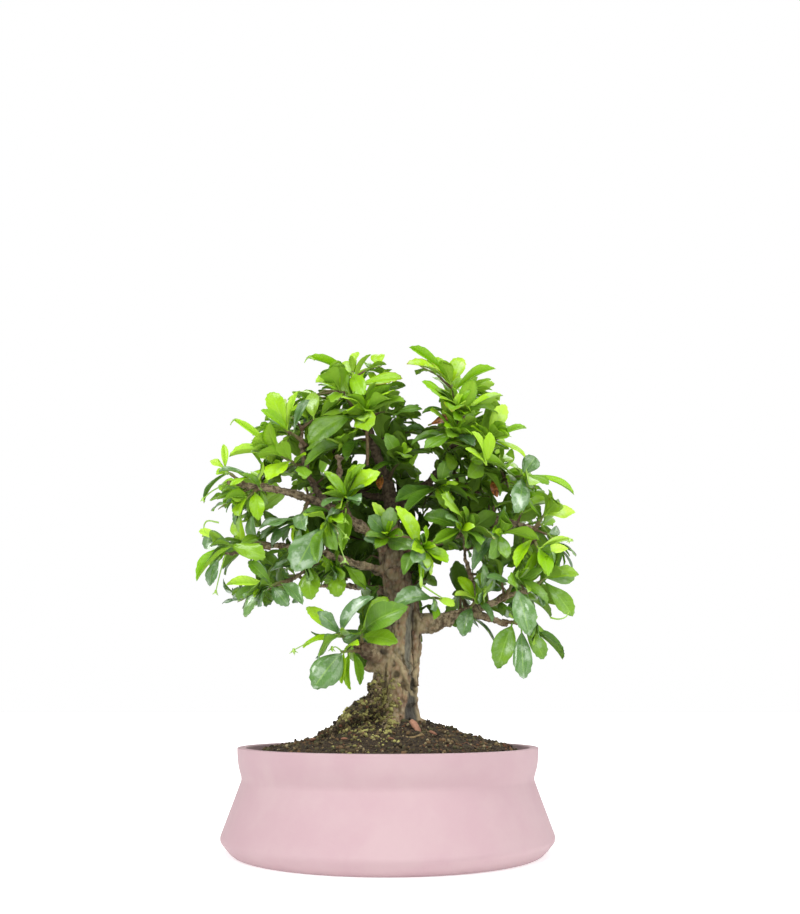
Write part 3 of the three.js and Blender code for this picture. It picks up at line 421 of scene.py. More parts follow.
def ring_faces(rings, sides, joined=False):
    """The faces between rings of points. Joined rings go on from the last to the first."""
    faces = []
    for ring in range(rings if joined else rings - 1):
        here, ahead = ring * sides, (ring + 1) % rings * sides
        for side in range(sides):
            beside = (side + 1) % sides
            faces.append([here + side, here + beside, ahead + beside, ahead + side])
    return faces


def closed_rings(rings, sides):
    """The faces between rings of points, with a lid on each end."""
    faces = ring_faces(rings, sides)
    faces.append(list(range(sides))[::-1])
    faces.append([(rings - 1) * sides + side for side in range(sides)])
    return faces


LEAST_SQUARE = 0.01


def nearest_on_line(spot, start, end):
    """How far a spot is from the straight line between two others."""
    way = end - start
    t = clamp((spot - start).dot(way) / max(way.length_squared, LEAST_SQUARE))
    return (start + way * t - spot).length


ICO_LONG = (1 + math.sqrt(5)) / 2
CRUMB_POINTS = [Vector(point).normalized() for point in (
    (-1, ICO_LONG, 0), (1, ICO_LONG, 0), (-1, -ICO_LONG, 0), (1, -ICO_LONG, 0),
    (0, -1, ICO_LONG), (0, 1, ICO_LONG), (0, -1, -ICO_LONG), (0, 1, -ICO_LONG),
    (ICO_LONG, 0, -1), (ICO_LONG, 0, 1), (-ICO_LONG, 0, -1), (-ICO_LONG, 0, 1),
)]
CRUMB_FACES = (
    (0, 11, 5), (0, 5, 1), (0, 1, 7), (0, 7, 10), (0, 10, 11), (1, 5, 9), (5, 11, 4), (11, 10, 2),
    (10, 7, 6), (7, 1, 8), (3, 9, 4), (3, 4, 2), (3, 2, 6), (3, 6, 8), (3, 8, 9), (4, 9, 5), (2, 4, 11),
    (6, 2, 10), (8, 6, 7), (9, 8, 1),
)


# How far a lump is stretched, and how far its corners stand out: the least, and what chance adds.
CRUMB_STRETCH = ((0.7, 0.6), (0.7, 0.6), (0.6, 0.4))
CRUMB_REACH = (0.8, 0.4)


def chance(draw, least, more):
    """A number by chance, from the least to as much more."""
    return least + more * draw()


def crumb(place, size, draw):
    """A rough lump of the given size, turned and squashed by chance."""
    turn = Matrix.Rotation(draw() * ANY_TURN, 3, Vector((draw() - 0.5, draw() - 0.5, draw() - 0.4)))
    stretch = Vector([chance(draw, *row) for row in CRUMB_STRETCH])
    points = []
    for corner in CRUMB_POINTS:
        reach = size * chance(draw, *CRUMB_REACH)
        points.append(place + turn @ Vector([corner[i] * stretch[i] * reach for i in range(3)]))
    return points, CRUMB_FACES


# Finishes

class Flow:
    """A socket's value in a finish. Sums, products and the like of it add Math nodes."""

    def __init__(self, finish, socket):
        self.finish = finish
        self.socket = socket

    def math(self, operation, *values):
        return self.finish.add("ShaderNodeMath", {"operation": operation}, dict(enumerate(values)))

    def __add__(self, other):
        return self.math("ADD", self, other)

    __radd__ = __add__

    def __sub__(self, other):
        return self.math("SUBTRACT", self, other)

    def __rsub__(self, other):
        return self.math("SUBTRACT", other, self)

    def __mul__(self, other):
        return self.math("MULTIPLY", self, other)

    __rmul__ = __mul__

    def over(self, low, high):
        """0 below low, 1 above high, and smooth between them. With low above high it falls."""
        inputs = {"Value": self, "From Min": low, "From Max": high}
        return self.finish.add("ShaderNodeMapRange", {"interpolation_type": "SMOOTHSTEP"}, inputs)

    def most(self, other):
        return self.math("MAXIMUM", self, other)

    def size(self):
        return self.math("ABSOLUTE", self)

    def wave(self):
        return self.math("SINE", self)


class Finish:
    """A material that is put together node by node. All that it shades is tied to the piece, not the view."""

    def __init__(self, name):
        self.material = bpy.data.materials.new(name)
        self.material.use_nodes = True
        self.tree = self.material.node_tree
        self.tree.nodes.clear()

    def add(self, kind, settings=None, inputs=None, output=0):
        """One node of a kind, its settings and the values or flows of its sockets. Gives one output's flow."""
        node = self.tree.nodes.new(kind)
        for name, value in (settings or {}).items():
            if name == "stops":
                self.set_stops(node.color_ramp, value)
            else:
                setattr(node, name, value)
        for name, value in (inputs or {}).items():
            if isinstance(value, Flow):
                self.tree.links.new(value.socket, node.inputs[name])
            else:
                node.inputs[name].default_value = value
        return None if output is None else Flow(self, node.outputs[output])

    def set_stops(self, ramp, stops):
        while len(ramp.elements) < len(stops):
            ramp.elements.new(1)
        for element, (place, color) in zip(ramp.elements, stops):
            element.position = place
            element.color = color

    def place(self, stretch=(1, 1, 1)):
        """Where a point of the piece is, in metres, stretched along each axis."""
        at = self.add("ShaderNodeTexCoord", output="Object")
        return self.add("ShaderNodeMapping", {}, {"Vector": at, "Scale": stretch})

    def grain(self, size, detail=3.0, rough=0.55, stretch=(1, 1, 1), twist=0.0):
        """Noise from 0 to 1 with lumps of the given size in millimetres."""
        inputs = {"Vector": self.place(stretch), "Scale": 1 / (size * MM), "Detail": detail,
                  "Roughness": rough, "Distortion": twist}
        return self.add("ShaderNodeTexNoise", {}, inputs)

    def cells(self, size, stretch=(1, 1, 1)):
        """Distance to the nearest of many scattered points, for cells of the given size in millimetres."""
        inputs = {"Vector": self.place(stretch), "Scale": 1 / (size * MM)}
        return self.add("ShaderNodeTexVoronoi", {}, inputs, "Distance")

    def told(self, name, output="Fac"):
        """What the mesh tells about each point under a name."""
        return self.add("ShaderNodeAttribute", {"attribute_name": name}, output=output)

    def told_three(self, name):
        """The three numbers that the mesh tells about each point under a name."""
        all_three = self.told(name, "Vector")
        return [self.add("ShaderNodeSeparateXYZ", {}, {0: all_three}, axis) for axis in "XYZ"]

    def blend(self, share, first, second):
        """One colour at share 0, the other at share 1."""
        inputs = {0: share, 6: first, 7: second}
        return self.add("ShaderNodeMix", {"data_type": "RGBA"}, inputs, 2)

    def raised(self, height, depth, below=None):
        """A normal for a relief of the given depth in millimetres."""
        inputs = {"Height": height, "Distance": depth * MM, "Strength": 1.0}
        if below is not None:
            inputs["Normal"] = below
        return self.add("ShaderNodeBump", {}, inputs)

    def cover(self, color, rough, normal=None, others=None):
        """The surface itself, with any others of its values by name."""
        inputs = {"Base Color": color, "Roughness": rough}
        if normal is not None:
            inputs["Normal"] = normal
        inputs.update(others or {})
        surface = self.add("ShaderNodeBsdfPrincipled", {}, inputs)
        self.add("ShaderNodeOutputMaterial", {}, {"Surface": surface}, None)
        return self.material


def shade(red, green, blue):
    """A colour from screen values of 0 to 255."""
    def light(value):
        value = value / 255
        return value / 12.92 if value <= 0.04045 else ((value + 0.055) / 1.055) ** 2.4
    return (light(red), light(green), light(blue), 1.0)


# How closely the side veins follow each other along a leaf, and how far they slant forward.
VEIN_RATE = 46
VEIN_SLANT = 9


def leaf_finish():
    """Glossy green, from dark old leaves to yellow-green young ones, with veins, painted sheen and rust at the
    rim, and painted shade deep in the crown.
    """
    f = Finish("leaf")
    along, across, upper = f.told_three("leaf_place")
    youth, grey, rust = f.told_three("leaf_kind")
    tone = f.told("leaf_tone")
    deep = f.told("leaf_shade")
    side = across.size()
    patches = f.grain(9)
    dark = f.blend(tone, shade(54, 96, 8), shade(96, 142, 27))
    fresh = f.blend(tone, shade(125, 178, 6), shade(169, 213, 21))
    young = f.blend(tone, shade(160, 208, 32), shade(188, 224, 80))
    color = f.blend((youth - 0.2 * grey).over(0.0, 0.75), dark, fresh)
    color = f.blend(youth.over(0.7, 1.0), color, young)
    color = f.blend(patches.over(0.35, 0.75) * 0.3 * (1 - grey), color, fresh)
    color = f.blend(grey * (0.45 + 0.4 * patches), color, shade(96, 130, 94))
    # Painted sheen: whitish patches of painted reflection, strongest on grey leaves and weaker deep in the
    # crown.
    sheen = f.grain(7, 3.0, 0.6).over(0.47, 0.66) * side.over(1.0, 0.5)
    shine = (grey * grey).most(tone.over(0.6, 0.9) * 0.4) * (1 - 0.7 * deep)
    color = f.blend(shine * sheen * 0.66, color, shade(217, 232, 213))
    veins = (along * VEIN_RATE - side * VEIN_SLANT).wave().over(0.86, 1.0) * side.over(0.02, 0.12)
    rib = side.over(0.075, 0.02) * along.over(0.98, 0.8)
    color = f.blend((veins * 0.1).most(rib * 0.35), color, shade(157, 199, 79))
    rim = side.over(0.84, 1.0).most(along.over(0.93, 1.0))
    color = f.blend(rim * rust, color, shade(157, 88, 42))
    dead = f.blend(f.grain(1.6).over(0.35, 0.65), shade(96, 52, 19), shade(186, 115, 50))
    color = f.blend(rust.over(0.7, 1.0) * patches.over(0.1, 0.35), color, dead)
    below = f.blend(youth, shade(88, 130, 42), shade(167, 209, 59))
    color = f.blend(upper, below, color)
    # Painted shade: leaves deep in the crown are darkened towards near black-green.
    color = f.blend(deep * deep * 0.62 * (1 - rust), color, shade(17, 44, 4))
    rough = 0.58 - 0.3 * upper - 0.06 * grey + 0.14 * patches
    relief = f.raised(veins * -0.5 + f.cells(0.9) * 0.35 + f.grain(2.2) * 0.7, 0.2)
    gloss = upper * (0.12 + 0.88 * grey) * (1 - deep)
    return f.cover(color, rough, relief,
                   {"Specular IOR Level": 0.3, "Coat Weight": gloss, "Coat Roughness": 0.17})


def twig_finish():
    """Thin brown bark that turns green towards the twig's end, with painted shade deep in the crown."""
    f = Finish("twig_bark")
    along = f.told("twig_place")
    lumps = f.grain(1.6)
    color = f.blend(along.over(0.1, 0.9), shade(99, 78, 51), shade(114, 131, 59))
    color = f.blend(lumps.over(0.4, 0.7) * 0.5, color, shade(142, 124, 91))
    # Painted shade on twigs deep in the crown.
    color = f.blend(f.told("leaf_shade") * 0.7, color, shade(49, 27, 13))
    relief = f.raised(lumps + f.cells(0.7) * 0.5, 0.2)
    return f.cover(color, 0.7 + 0.15 * lumps, relief)


# Heights in metres between which the wood changes: the paler foot, and the darker end of the bare groove.
PALE_FOOT = (0.112, 0.098)
DARK_GROOVE = (0.098, 0.084)


def wood_finish():
    """Flaky bark with dark fissures, a bare grey groove, moss at the foot and soil on the left root, with
    painted light and shade.
    """
    f = Finish("bark")
    height = f.told("bark_height")
    bare = f.told("bare_wood")
    moss = f.told("moss_cover")
    thin = f.told("thin_limb")
    mark = f.told("front_mark")
    crust = f.told("soil_crust")
    shadow = f.told("wood_shade")
    patches = f.grain(11)
    streaks = f.grain(1.1, 4.0, 0.6, (1, 1, 0.22), 0.4)
    flakes = f.cells(1.7, (1, 1, 0.6))
    fine = f.grain(0.9)
    at = f.add("ShaderNodeTexCoord", output="Object")
    level = f.add("ShaderNodeSeparateXYZ", {}, {0: at}, "Z")
    low_down = level.over(*PALE_FOOT)
    ridges = f.blend(low_down, shade(155, 141, 105), shade(184, 165, 127))
    raised = height.over(0.15, 0.8)
    fissures = f.blend(low_down, shade(43, 33, 21), shade(56, 45, 30))
    color = f.blend(raised, fissures, ridges)
    color = f.blend(streaks.over(0.35, 0.7) * 0.45, color, shade(117, 105, 67))
    color = f.blend(patches.over(0.45, 0.68) * 0.6, color, shade(98, 68, 46))
    color = f.blend(f.grain(4.2, 4.0).over(0.5, 0.62) * 0.5, color, shade(160, 120, 94))
    color = f.blend(flakes.over(0.75, 0.1) * 0.4, color, shade(184, 172, 146))
    limb = f.blend(f.grain(2.2).over(0.36, 0.6), shade(56, 43, 30), shade(168, 150, 120))
    limb = f.blend(patches.over(0.5, 0.66) * 0.4, limb, shade(120, 82, 55))
    limb = f.blend(f.grain(4.5, 1.0).over(0.62, 0.74) * 0.7, limb, shade(45, 36, 26))
    color = f.blend(thin * 0.85, color, f.blend(fine.over(0.45, 0.7) * 0.6, limb, shade(95, 75, 53)))
    low = f.grain(9, 2.0).over(0.3, 0.7)
    grey = f.blend(streaks.over(0.3, 0.7), shade(82, 79, 68), shade(134, 130, 112))
    deep = f.blend(streaks.over(0.3, 0.7), shade(43, 39, 34), shade(79, 75, 65))
    groove = f.blend(level.over(*DARK_GROOVE) * (0.7 + 0.3 * low), grey, deep)
    color = f.blend(bare, color, groove)
    # Painted light on the raised ridges of the trunk's front, and painted shade in its hollows and cracks.
    color = f.blend(mark.over(0.25, 1.1) * 0.7, color, shade(170, 155, 118))
    color = f.blend((mark * -1).over(0.3, 1.3) * 0.8, color, shade(38, 30, 21))
    green = f.blend(f.grain(1.4).over(0.35, 0.65), shade(79, 67, 38), shade(138, 129, 82))
    color = f.blend(moss * f.grain(2.4).over(0.4, 0.56) * 0.8, color, green)
    color = f.blend(crust * f.grain(3.2).over(0.35, 0.6) * 0.9, color, shade(43, 32, 21))
    # Painted shade: the leader in the crown, the trunk just under the crown and the stump turn dark brown.
    color = f.blend(shadow * 0.75, color, shade(43, 26, 13))
    rough = 0.9 - 0.28 * bare
    relief = f.raised(streaks * (1 - 0.6 * bare) + flakes * 0.5 + f.grain(0.5) * 0.4, 0.6)
    return f.cover(color, rough, relief)


def soil_finish():
    """Damp dark soil between the crumbs."""
    f = Finish("soil")
    lumps = f.grain(1.3, 5.0, 0.7)
    patches = f.grain(14)
    color = f.blend(lumps.over(0.3, 0.75), shade(31, 23, 15), shade(76, 61, 40))
    color = f.blend(patches.over(0.45, 0.7) * 0.5, color, shade(56, 38, 24))
    relief = f.raised(lumps + f.cells(1.1) * 0.6, 0.9)
    return f.cover(color, 0.95, relief)


def crumb_finish():
    """Grains of soil, each of one shade from near black to straw."""
    f = Finish("soil_crumb")
    tint = f.told("tint")
    stops = [(0.0, shade(37, 30, 21)), (0.3, shade(62, 50, 33)), (0.52, shade(86, 72, 46)),
             (0.68, shade(77, 79, 49)), (0.8, shade(111, 92, 60)), (0.9, shade(97, 58, 37)),
             (0.95, shade(130, 114, 79)), (1.0, shade(165, 151, 116))]
    color = f.add("ShaderNodeValToRGB", {"stops": stops}, {0: tint})
    lumps = f.grain(0.8)
    color = f.blend(lumps.over(0.35, 0.8) * 0.4, color, shade(49, 39, 26))
    return f.cover(color, 0.93, f.raised(lumps, 0.3))


def moss_finish():
    """Dry yellow-green moss."""
    f = Finish("moss")
    tint = f.told("tint")
    color = f.blend(tint, shade(94, 83, 44), shade(180, 176, 106))
    color = f.blend(f.grain(0.5).over(0.4, 0.7) * 0.35, color, shade(101, 101, 36))
    return f.cover(color, 0.9, f.raised(f.grain(0.35), 0.25))


def litter_finish():
    """Thin roots and the reddish chips of bark."""
    f = Finish("bark_litter")
    tint = f.told("tint")
    fibres = f.grain(0.9, 3.0, 0.6, (1, 1, 0.5))
    stops = [(0.0, shade(67, 50, 34)), (0.35, shade(135, 115, 77)), (0.6, shade(110, 94, 65)),
             (0.75, shade(138, 94, 72)), (1.0, shade(170, 124, 100))]
    color = f.add("ShaderNodeValToRGB", {"stops": stops}, {0: tint})
    color = f.blend(fibres.over(0.4, 0.7) * 0.4, color, shade(76, 52, 36))
    return f.cover(color, 0.88, f.raised(fibres, 0.35))


def glaze_finish():
    """Matte pale pink, faintly cloudy, with fine specks."""
    f = Finish("matte_pink_glaze")
    clouds = f.grain(26, 4.0)
    specks = f.grain(0.7, 2.0)
    color = f.blend(clouds.over(0.3, 0.7), shade(182, 153, 159), shade(186, 160, 164))
    color = f.blend(specks.over(0.62, 0.8) * 0.12, color, shade(174, 139, 146))
    rough = 0.56 + 0.12 * clouds + 0.06 * specks
    relief = f.raised(f.grain(3.5, 3.0) * 0.7 + f.grain(40, 1.0, 0.5, (1, 1, 6)) + specks * 0.2, 0.12)
    return f.cover(color, rough, relief, {"Specular IOR Level": 0.35})


def screen_finish():
    """Dark moulded plastic of the drainage mesh."""
    f = Finish("black_plastic_mesh")
    rough = 0.6 + 0.2 * f.grain(2)
    return f.cover(shade(34, 34, 36), rough, f.raised(f.grain(0.8), 0.1))


def grit_finish():
    """Pale stones of the drainage layer, with painted shade between them."""
    f = Finish("coarse_grit")
    stones = f.cells(4)
    tint = f.grain(5)
    color = f.blend(tint.over(0.3, 0.7), shade(104, 92, 78), shade(176, 164, 146))
    # Painted shade in the gaps between the stones.
    color = f.blend(stones.over(0.3, 0.8) * 0.7, color, shade(60, 52, 44))
    return f.cover(color, 0.92, f.raised(1 - stones, 1.6))


# Pot

# The outline of the wall, once round by rim, skirt, foot, drain hole and inside: radius, height, and how far
# from each corner its rounding starts.
POT_WALL = (
    (77.0, 53.0, 0.0), (77.0, 55.5, 1.1), (82.0, 55.5, 0.6), (81.5, 47.0, 6.0), (79.1, 38.9, 1.8),
    (90.2, 7.8, 2.2), (84.8, 1.4, 2.4), (82.8, 0.0, 0.8), (74.0, 0.0, 1.0),
    (71.0, 4.0, 1.0), (9.6, 4.0, 0.8), (9.0, 7.0, 0.0), (9.6, 10.0, 0.8), (79.5, 10.0, 2.0),
    (80.6, 22.0, 12.0), (74.9, 38.5, 6.0), (76.9, 46.0, 6.0),
)
POT_SIDES = 160
CORNER_STEPS = 6
CORNER_SHARE = 0.45


def rounded(corners):
    """A closed outline of radius and height whose corners are rounded, each over its own reach."""
    outline = []
    for i, (radius, height, reach) in enumerate(corners):
        middle = Vector((radius, height))
        if reach == 0:
            outline.append(middle)
            continue
        before = Vector(corners[i - 1][:2]) - middle
        after = Vector(corners[(i + 1) % len(corners)][:2]) - middle
        start = middle + before.normalized() * min(reach, before.length * CORNER_SHARE)
        end = middle + after.normalized() * min(reach, after.length * CORNER_SHARE)
        for step in range(CORNER_STEPS + 1):
            t = step / CORNER_STEPS
            outline.append(start.lerp(middle, t).lerp(middle.lerp(end, t), t))
    return outline


def make_pot(glaze):
    """The outline, turned round the pot's axis."""
    shape = Shape()
    outline = rounded(POT_WALL)
    points = [(r * math.cos(angle), r * math.sin(angle), z) for angle in angles(POT_SIDES) for r, z in outline]
    shape.add(points, ring_faces(POT_SIDES, len(outline), joined=True))
    return shape.piece("pot_fine", [glaze], ["pot"])


# Wood

VOXEL = 0.75
SOFTENING = 3
TRUNK_RING_STEP = 2.5
TRUNK_SIDES = 60
LIMB_RING_STEP = 2.2
FEWEST_RINGS = 6
LIMB_SIDES = 18
# How thick the limbs are beside the frame's, where it isn't the same as for the roots and the stump.
LIMB_SHARE = 0.82
THIN_LIMBS = {"arm_left": 0.64, "low_left": 0.68, "spur_left": 0.72, "low_right": 0.92}
# Swellings along a limb: how long they are, and what share of the radius. Then how far a limb wanders from its
# route, over what length, and after how many rings it does so in full.
LIMB_SWELLINGS = ((7, 0.3), (2.6, 0.2))
WANDER = 1.2
WANDER_LENGTH = 14
WANDER_RINGS = 4
# The low right limb is thicker where it leaves the trunk.
FLARED_LIMB = "low_right"
FLARE = 0.5
FLARE_END = (0.12, 0.5)
# The bare grey groove down the front: height, left and right edge.
BARE_STRIPE = (
    (56, 8.6, 17.4), (74.8, 9.1, 16.2), (85.9, 11.3, 14.9), (92.6, 12.6, 14.5), (97.1, 11.6, 13.3),
    (100.7, 10.0, 12.8), (106.1, 9.5, 13.6), (115, 9.8, 13.9), (123, 10.0, 14.1), (130, 12.2, 14.6),
    (138, 13, 14.4),
)
# Ridges on the front of the trunk: how high, how wide, then the route across and up.
RIDGES = (
    (1.5, 1.1, ((2.3, 104.3), (6.8, 100.2), (9.1, 94.4), (11.3, 88.1), (13.1, 84.1))),
    (0.8, 1.1, ((2.3, 90.4), (2.1, 83.7), (2.3, 74.8))),
    (0.7, 1.3, ((16.4, 128.7), (16.6, 113), (15.6, 99.3), (15.3, 79.3))),
    (0.5, 0.8, ((12.9, 100), (12.4, 92), (11.0, 86))),
    (-1.6, 0.55, ((14.6, 130), (14.5, 112), (14.5, 99.3), (14, 93.5))),
    (-1.0, 1.2, ((5.4, 104), (9.2, 100), (11.4, 94), (13.2, 88))),
)
# Hollows on the front of the trunk: across, up, radius, depth.
HOLLOWS = ((4.6, 94.4, 2.2, 1.9), (-1.3, 107, 2.6, 1.7), (-2.6, 80.6, 2.2, 1.5), (3.2, 99.3, 1.4, 1.0))
# The part of the front that has ridges and hollows: across, up, and which way it may face.
MARKED_ACROSS = (-8, 22)
MARKED_UP = (70, 134)
MARKED_FACING = 0.2
FACING_FRONT = (-0.2, 0.3)


def from_route(x, z, route):
    """How far a place is from a route, seen from the front."""
    corners = [Vector(corner) for corner in route]
    return min(nearest_on_line(Vector((x, z)), start, end) for start, end in zip(corners, corners[1:]))


def front_marks(spot, outward):
    """The lift of the ridges and hollows on the trunk's front at a spot, in millimetres."""
    (left, right), (low, high) = MARKED_ACROSS, MARKED_UP
    if spot.y > 0 or outward.y > MARKED_FACING or not low < spot.z < high or not left < spot.x < right:
        return 0
    lift = sum(raised * math.exp(-(from_route(spot.x, spot.z, route) / wide) ** 2)
               for raised, wide, route in RIDGES)
    lift -= sum(depth * math.exp(-(math.hypot(spot.x - x, spot.z - z) / radius) ** 2)
                for x, z, radius, depth in HOLLOWS)
    return lift * ease(-outward.y, *FACING_FRONT)


def trunk_rings():
    """The trunk as one closed rod with flutes, which fade out towards the crown."""
    rows = spline(TRUNK, int((TRUNK[-1][2] - TRUNK[0][2]) / TRUNK_RING_STEP))
    points = []
    for x, y, z, radius in rows:
        flute = FLUTE_DEPTH * clamp((FLUTE_TOP - z) / FLUTE_FADE)
        turn = z / FLUTE_TURN
        for angle in angles(TRUNK_SIDES):
            wave = sum(share * math.cos(count * angle + way * turn) for share, count, way in FLUTE_WAVES)
            reach = radius * (1 + flute * wave)
            points.append((x + reach * math.cos(angle), y + reach * math.sin(angle), z))
    return points, closed_rings(len(rows), TRUNK_SIDES)


def limb_rings(thick, thin, points, flare):
    """A limb with swellings where old twigs were."""
    length = sum((Vector(b) - Vector(a)).length for a, b in zip(points, points[1:]))
    count = max(FEWEST_RINGS, int(length / LIMB_RING_STEP))
    radii, wander = [], []
    for i, middle in enumerate(Vector(place) for place in spline(points, count)):
        t = i / (count - 1)
        swell = sum(noise.noise(middle / long) * share for long, share in LIMB_SWELLINGS)
        radii.append((thick + (thin - thick) * t) * (1 + swell + flare * (1 - ease(t, *FLARE_END))))
        aside = noise.noise_vector(middle / WANDER_LENGTH) * WANDER
        wander.append(middle + aside * min(1, i / WANDER_RINGS))
    return tube(wander, radii, LIMB_SIDES)


# Knots and pruned ends that stand out: middle, size.
KNOTS = (
    ((58, 0, 183), 4.0), ((68, -1, 178), 3.6), ((63, 0, 181), 3.8), ((45, -8, 129), 3.6),
    ((20, 0, 121), 4.6), ((27, -2, 121), 4.2), ((34, -4, 124), 3.8), ((-16, -7, 177), 4.4),
    ((-33, -15, 187), 3.5), ((-49, -18, 192), 2.9), ((-65, -20, 196), 2.4), ((-84, -23, 198), 2.6),
    ((2, 5, 186), 6.0), ((4, -3, 150), 8.6), ((-27, -22, 213), 2.8), ((-14, -15, 109), 5.2),
    ((12, 2, 124), 8.0), ((-2, -2, 168), 6.0), ((10, -6, 96), 9.2), ((-4, -6, 100), 8.5),
    ((-6, -6, 84), 9.0), ((10, -7, 80), 8.4),
)
# The bark: how wide and how high its plates are, its fissures and how they bend, the lumps on it, and how deep
# it is. On thin limbs it is shallower and gets knobs. The bare wood lies lower and has fine lines.
FISSURE = (3.4, 3.4, 13.0)
FISSURE_DEPTH = 2.4
FISSURE_BEND = 0.7
BEND_LENGTH = 9
LUMP = 5.0
LUMP_SHARE = 0.45
BARK_DEPTH = 1.6
THIN_LOSS = 0.6
FULL_BARK = 0.95
KNOB = 2.4
KNOB_LIFT = 0.8
KNOB_SINK = 0.3
LINE = (0.9, 0.9, 30)
LINE_LIFT = 0.35
BARE_SINK = 0.9
# What is trimmed off the right side of the trunk: how much, which way it faces, how far across, up to where.
RIGHT_TRIM = 0.9
TRIM_FACING = (0.3, 0.8)
TRIM_ACROSS = 26
TRIM_TOP = (-132, -122)
WOOD_TOLD = ("bark_height", "bare_wood", "moss_cover", "thin_limb", "front_mark", "soil_crust", "wood_shade")


def rough_wood():
    """Trunk, limbs, roots and knots as closed rods and lumps that still run through each other."""
    rough = Shape()
    rough.add(*trunk_rings())
    for name, (thick, thin, points) in LIMBS.items():
        share = 1 if name.startswith(("root", "stump")) else THIN_LIMBS.get(name, LIMB_SHARE)
        flare = FLARE if name == FLARED_LIMB else 0
        rough.add(*limb_rings(thick * share, thin * share, points, flare))
    for place, size in KNOTS:
        draw = draws(int(place[2] * 10 + place[0]))
        rough.add(*crumb(Vector(place), size, draw))
    return rough


def one_skin(rough):
    """The rough shape as one closed skin: points in millimetres, normals and faces."""
    mesh = bpy.data.meshes.new("rough_wood")
    mesh.from_pydata([Vector(point) * MM for point in rough.points], [], rough.faces)
    block = bpy.data.objects.new("rough_wood", mesh)
    bpy.context.scene.collection.objects.link(block)
    remesh = block.modifiers.new("join", "REMESH")
    remesh.mode = "VOXEL"
    remesh.voxel_size = VOXEL * MM
    smooth = block.modifiers.new("soften", "SMOOTH")
    smooth.iterations = SOFTENING
    joined = block.evaluated_get(bpy.context.evaluated_depsgraph_get()).to_mesh()
    places = np.array([vertex.co / MM for vertex in joined.vertices])
    normals = np.array([vertex.normal for vertex in joined.vertices])
    faces = [list(polygon.vertices) for polygon in joined.polygons]
    block.to_mesh_clear()
    bpy.data.objects.remove(block)
    return places, normals, faces


def wood_detail(spot, outward):
    """How far the wood stands out at a spot, in millimetres, and what its finish is told there."""
    bare, moss, thin = wood_places(spot, outward)
    height = bark_relief(spot, thin)
    depth = (FULL_BARK - THIN_LOSS * thin) * (1 - bare)
    lines = noise.noise(Vector([spot[i] / LINE[i] for i in range(3)]))
    knobs = noise.fractal(spot / KNOB, 0.9, 2.0, 3) * KNOB_LIFT - KNOB_SINK
    mark = front_marks(spot, outward)
    trim = RIGHT_TRIM * ease(outward.x, *TRIM_FACING) * (spot.x < TRIM_ACROSS) * ease(-spot.z, *TRIM_TOP)
    lift = (height - 0.5) * BARK_DEPTH * depth + knobs * thin + bare * (LINE_LIFT * lines - BARE_SINK)
    return lift + mark - trim, (height, bare, moss, thin, mark, root_crust(spot), in_shade(spot))


def make_wood(bark):
    """The trunk, its limbs and roots as one skin with its bark, fissures, knobs and cuts."""
    places, normals, faces = one_skin(rough_wood())
    points, details = [], []
    for place, normal in zip(places, normals):
        spot, outward = Vector(place), Vector(normal)
        lift, detail = wood_detail(spot, outward)
        points.append(spot + outward * lift)
        details.append(detail)
    shape = Shape()
    shape.add(points, faces, **{name: list(values) for name, values in zip(WOOD_TOLD, zip(*details))})
    return shape.piece("trunk_and_branches_fine", [bark], ["trunk_and_branches"], 180)


def bark_relief(spot, thin):
    """The height of the bark at a spot, from 0 in a fissure to 1 on a ridge."""
    stretched = Vector([spot[i] / FISSURE[i] for i in range(3)])
    bend = noise.noise_vector(spot / BEND_LENGTH) * FISSURE_BEND
    fissures = 1 - abs(noise.noise(stretched + bend)) * FISSURE_DEPTH
    lumps = noise.fractal(spot / LUMP, 1.0, 2.0, 3)
    plates = 0.5 + 0.5 * (1 - 2 * fissures * (1 - thin)) * 0.5
    return clamp(plates + LUMP_SHARE * lumps)


STRIPE_ROWS = list(zip(*BARE_STRIPE))


# Where the wood is thin limb: how far from the trunk's axis and how high, or else in the top.
TRUNK_AXIS = 6
THIN_AWAY = (12, 26)
THIN_ABOVE = (84, 100)
THIN_TOP = (176, 196)
# The bare groove: how soft its edges are and how they wander, up to where, and which way it may face.
GROOVE_EDGE = 0.6
GROOVE_WANDER = 0.5
WANDER_LUMP = 4
GROOVE_TOP = (-138, -128)
GROOVE_FACING = (0.05, 0.4)
# Moss on the left of the foot, and round the lowest part of the trunk.
MOSS_TOP = (-108, -84)
MOSS_ACROSS = (-9, 2)
MOSS_FACING = (-0.3, 0.4)
MOSS_PATCH = 6
FOOT_MOSS = 0.8
FOOT_MOSS_TOP = (-78, -66)
FOOT_MOSS_PATCH = (-0.2, 0.3)


def wood_places(spot, outward):
    """How much a spot of the wood is bare dead wood, moss, and thin limb."""
    from_axis = math.hypot(spot.x - TRUNK_AXIS, spot.y)
    thin = max(ease(from_axis, *THIN_AWAY) * ease(spot.z, *THIN_ABOVE), ease(spot.z, *THIN_TOP))
    left, right = [float(np.interp(spot.z, STRIPE_ROWS[0], edge)) for edge in STRIPE_ROWS[1:]]
    wander = GROOVE_WANDER * noise.noise(spot / WANDER_LUMP)
    stripe = ease(spot.x + wander, left - GROOVE_EDGE, left + GROOVE_EDGE)
    stripe *= ease(-spot.x + wander, -right - GROOVE_EDGE, GROOVE_EDGE - right)
    bare = stripe * ease(-spot.z, *GROOVE_TOP) * ease(-outward.y, *GROOVE_FACING) * (spot.y < 0)
    patch = noise.noise(spot / MOSS_PATCH)
    moss = ease(-spot.z, *MOSS_TOP) * ease(-spot.x, *MOSS_ACROSS) * ease(-outward.y + patch, *MOSS_FACING)
    moss = max(moss, ease(-spot.z, *FOOT_MOSS_TOP) * ease(patch, *FOOT_MOSS_PATCH) * FOOT_MOSS)
    return bare, moss * (1 - bare), thin


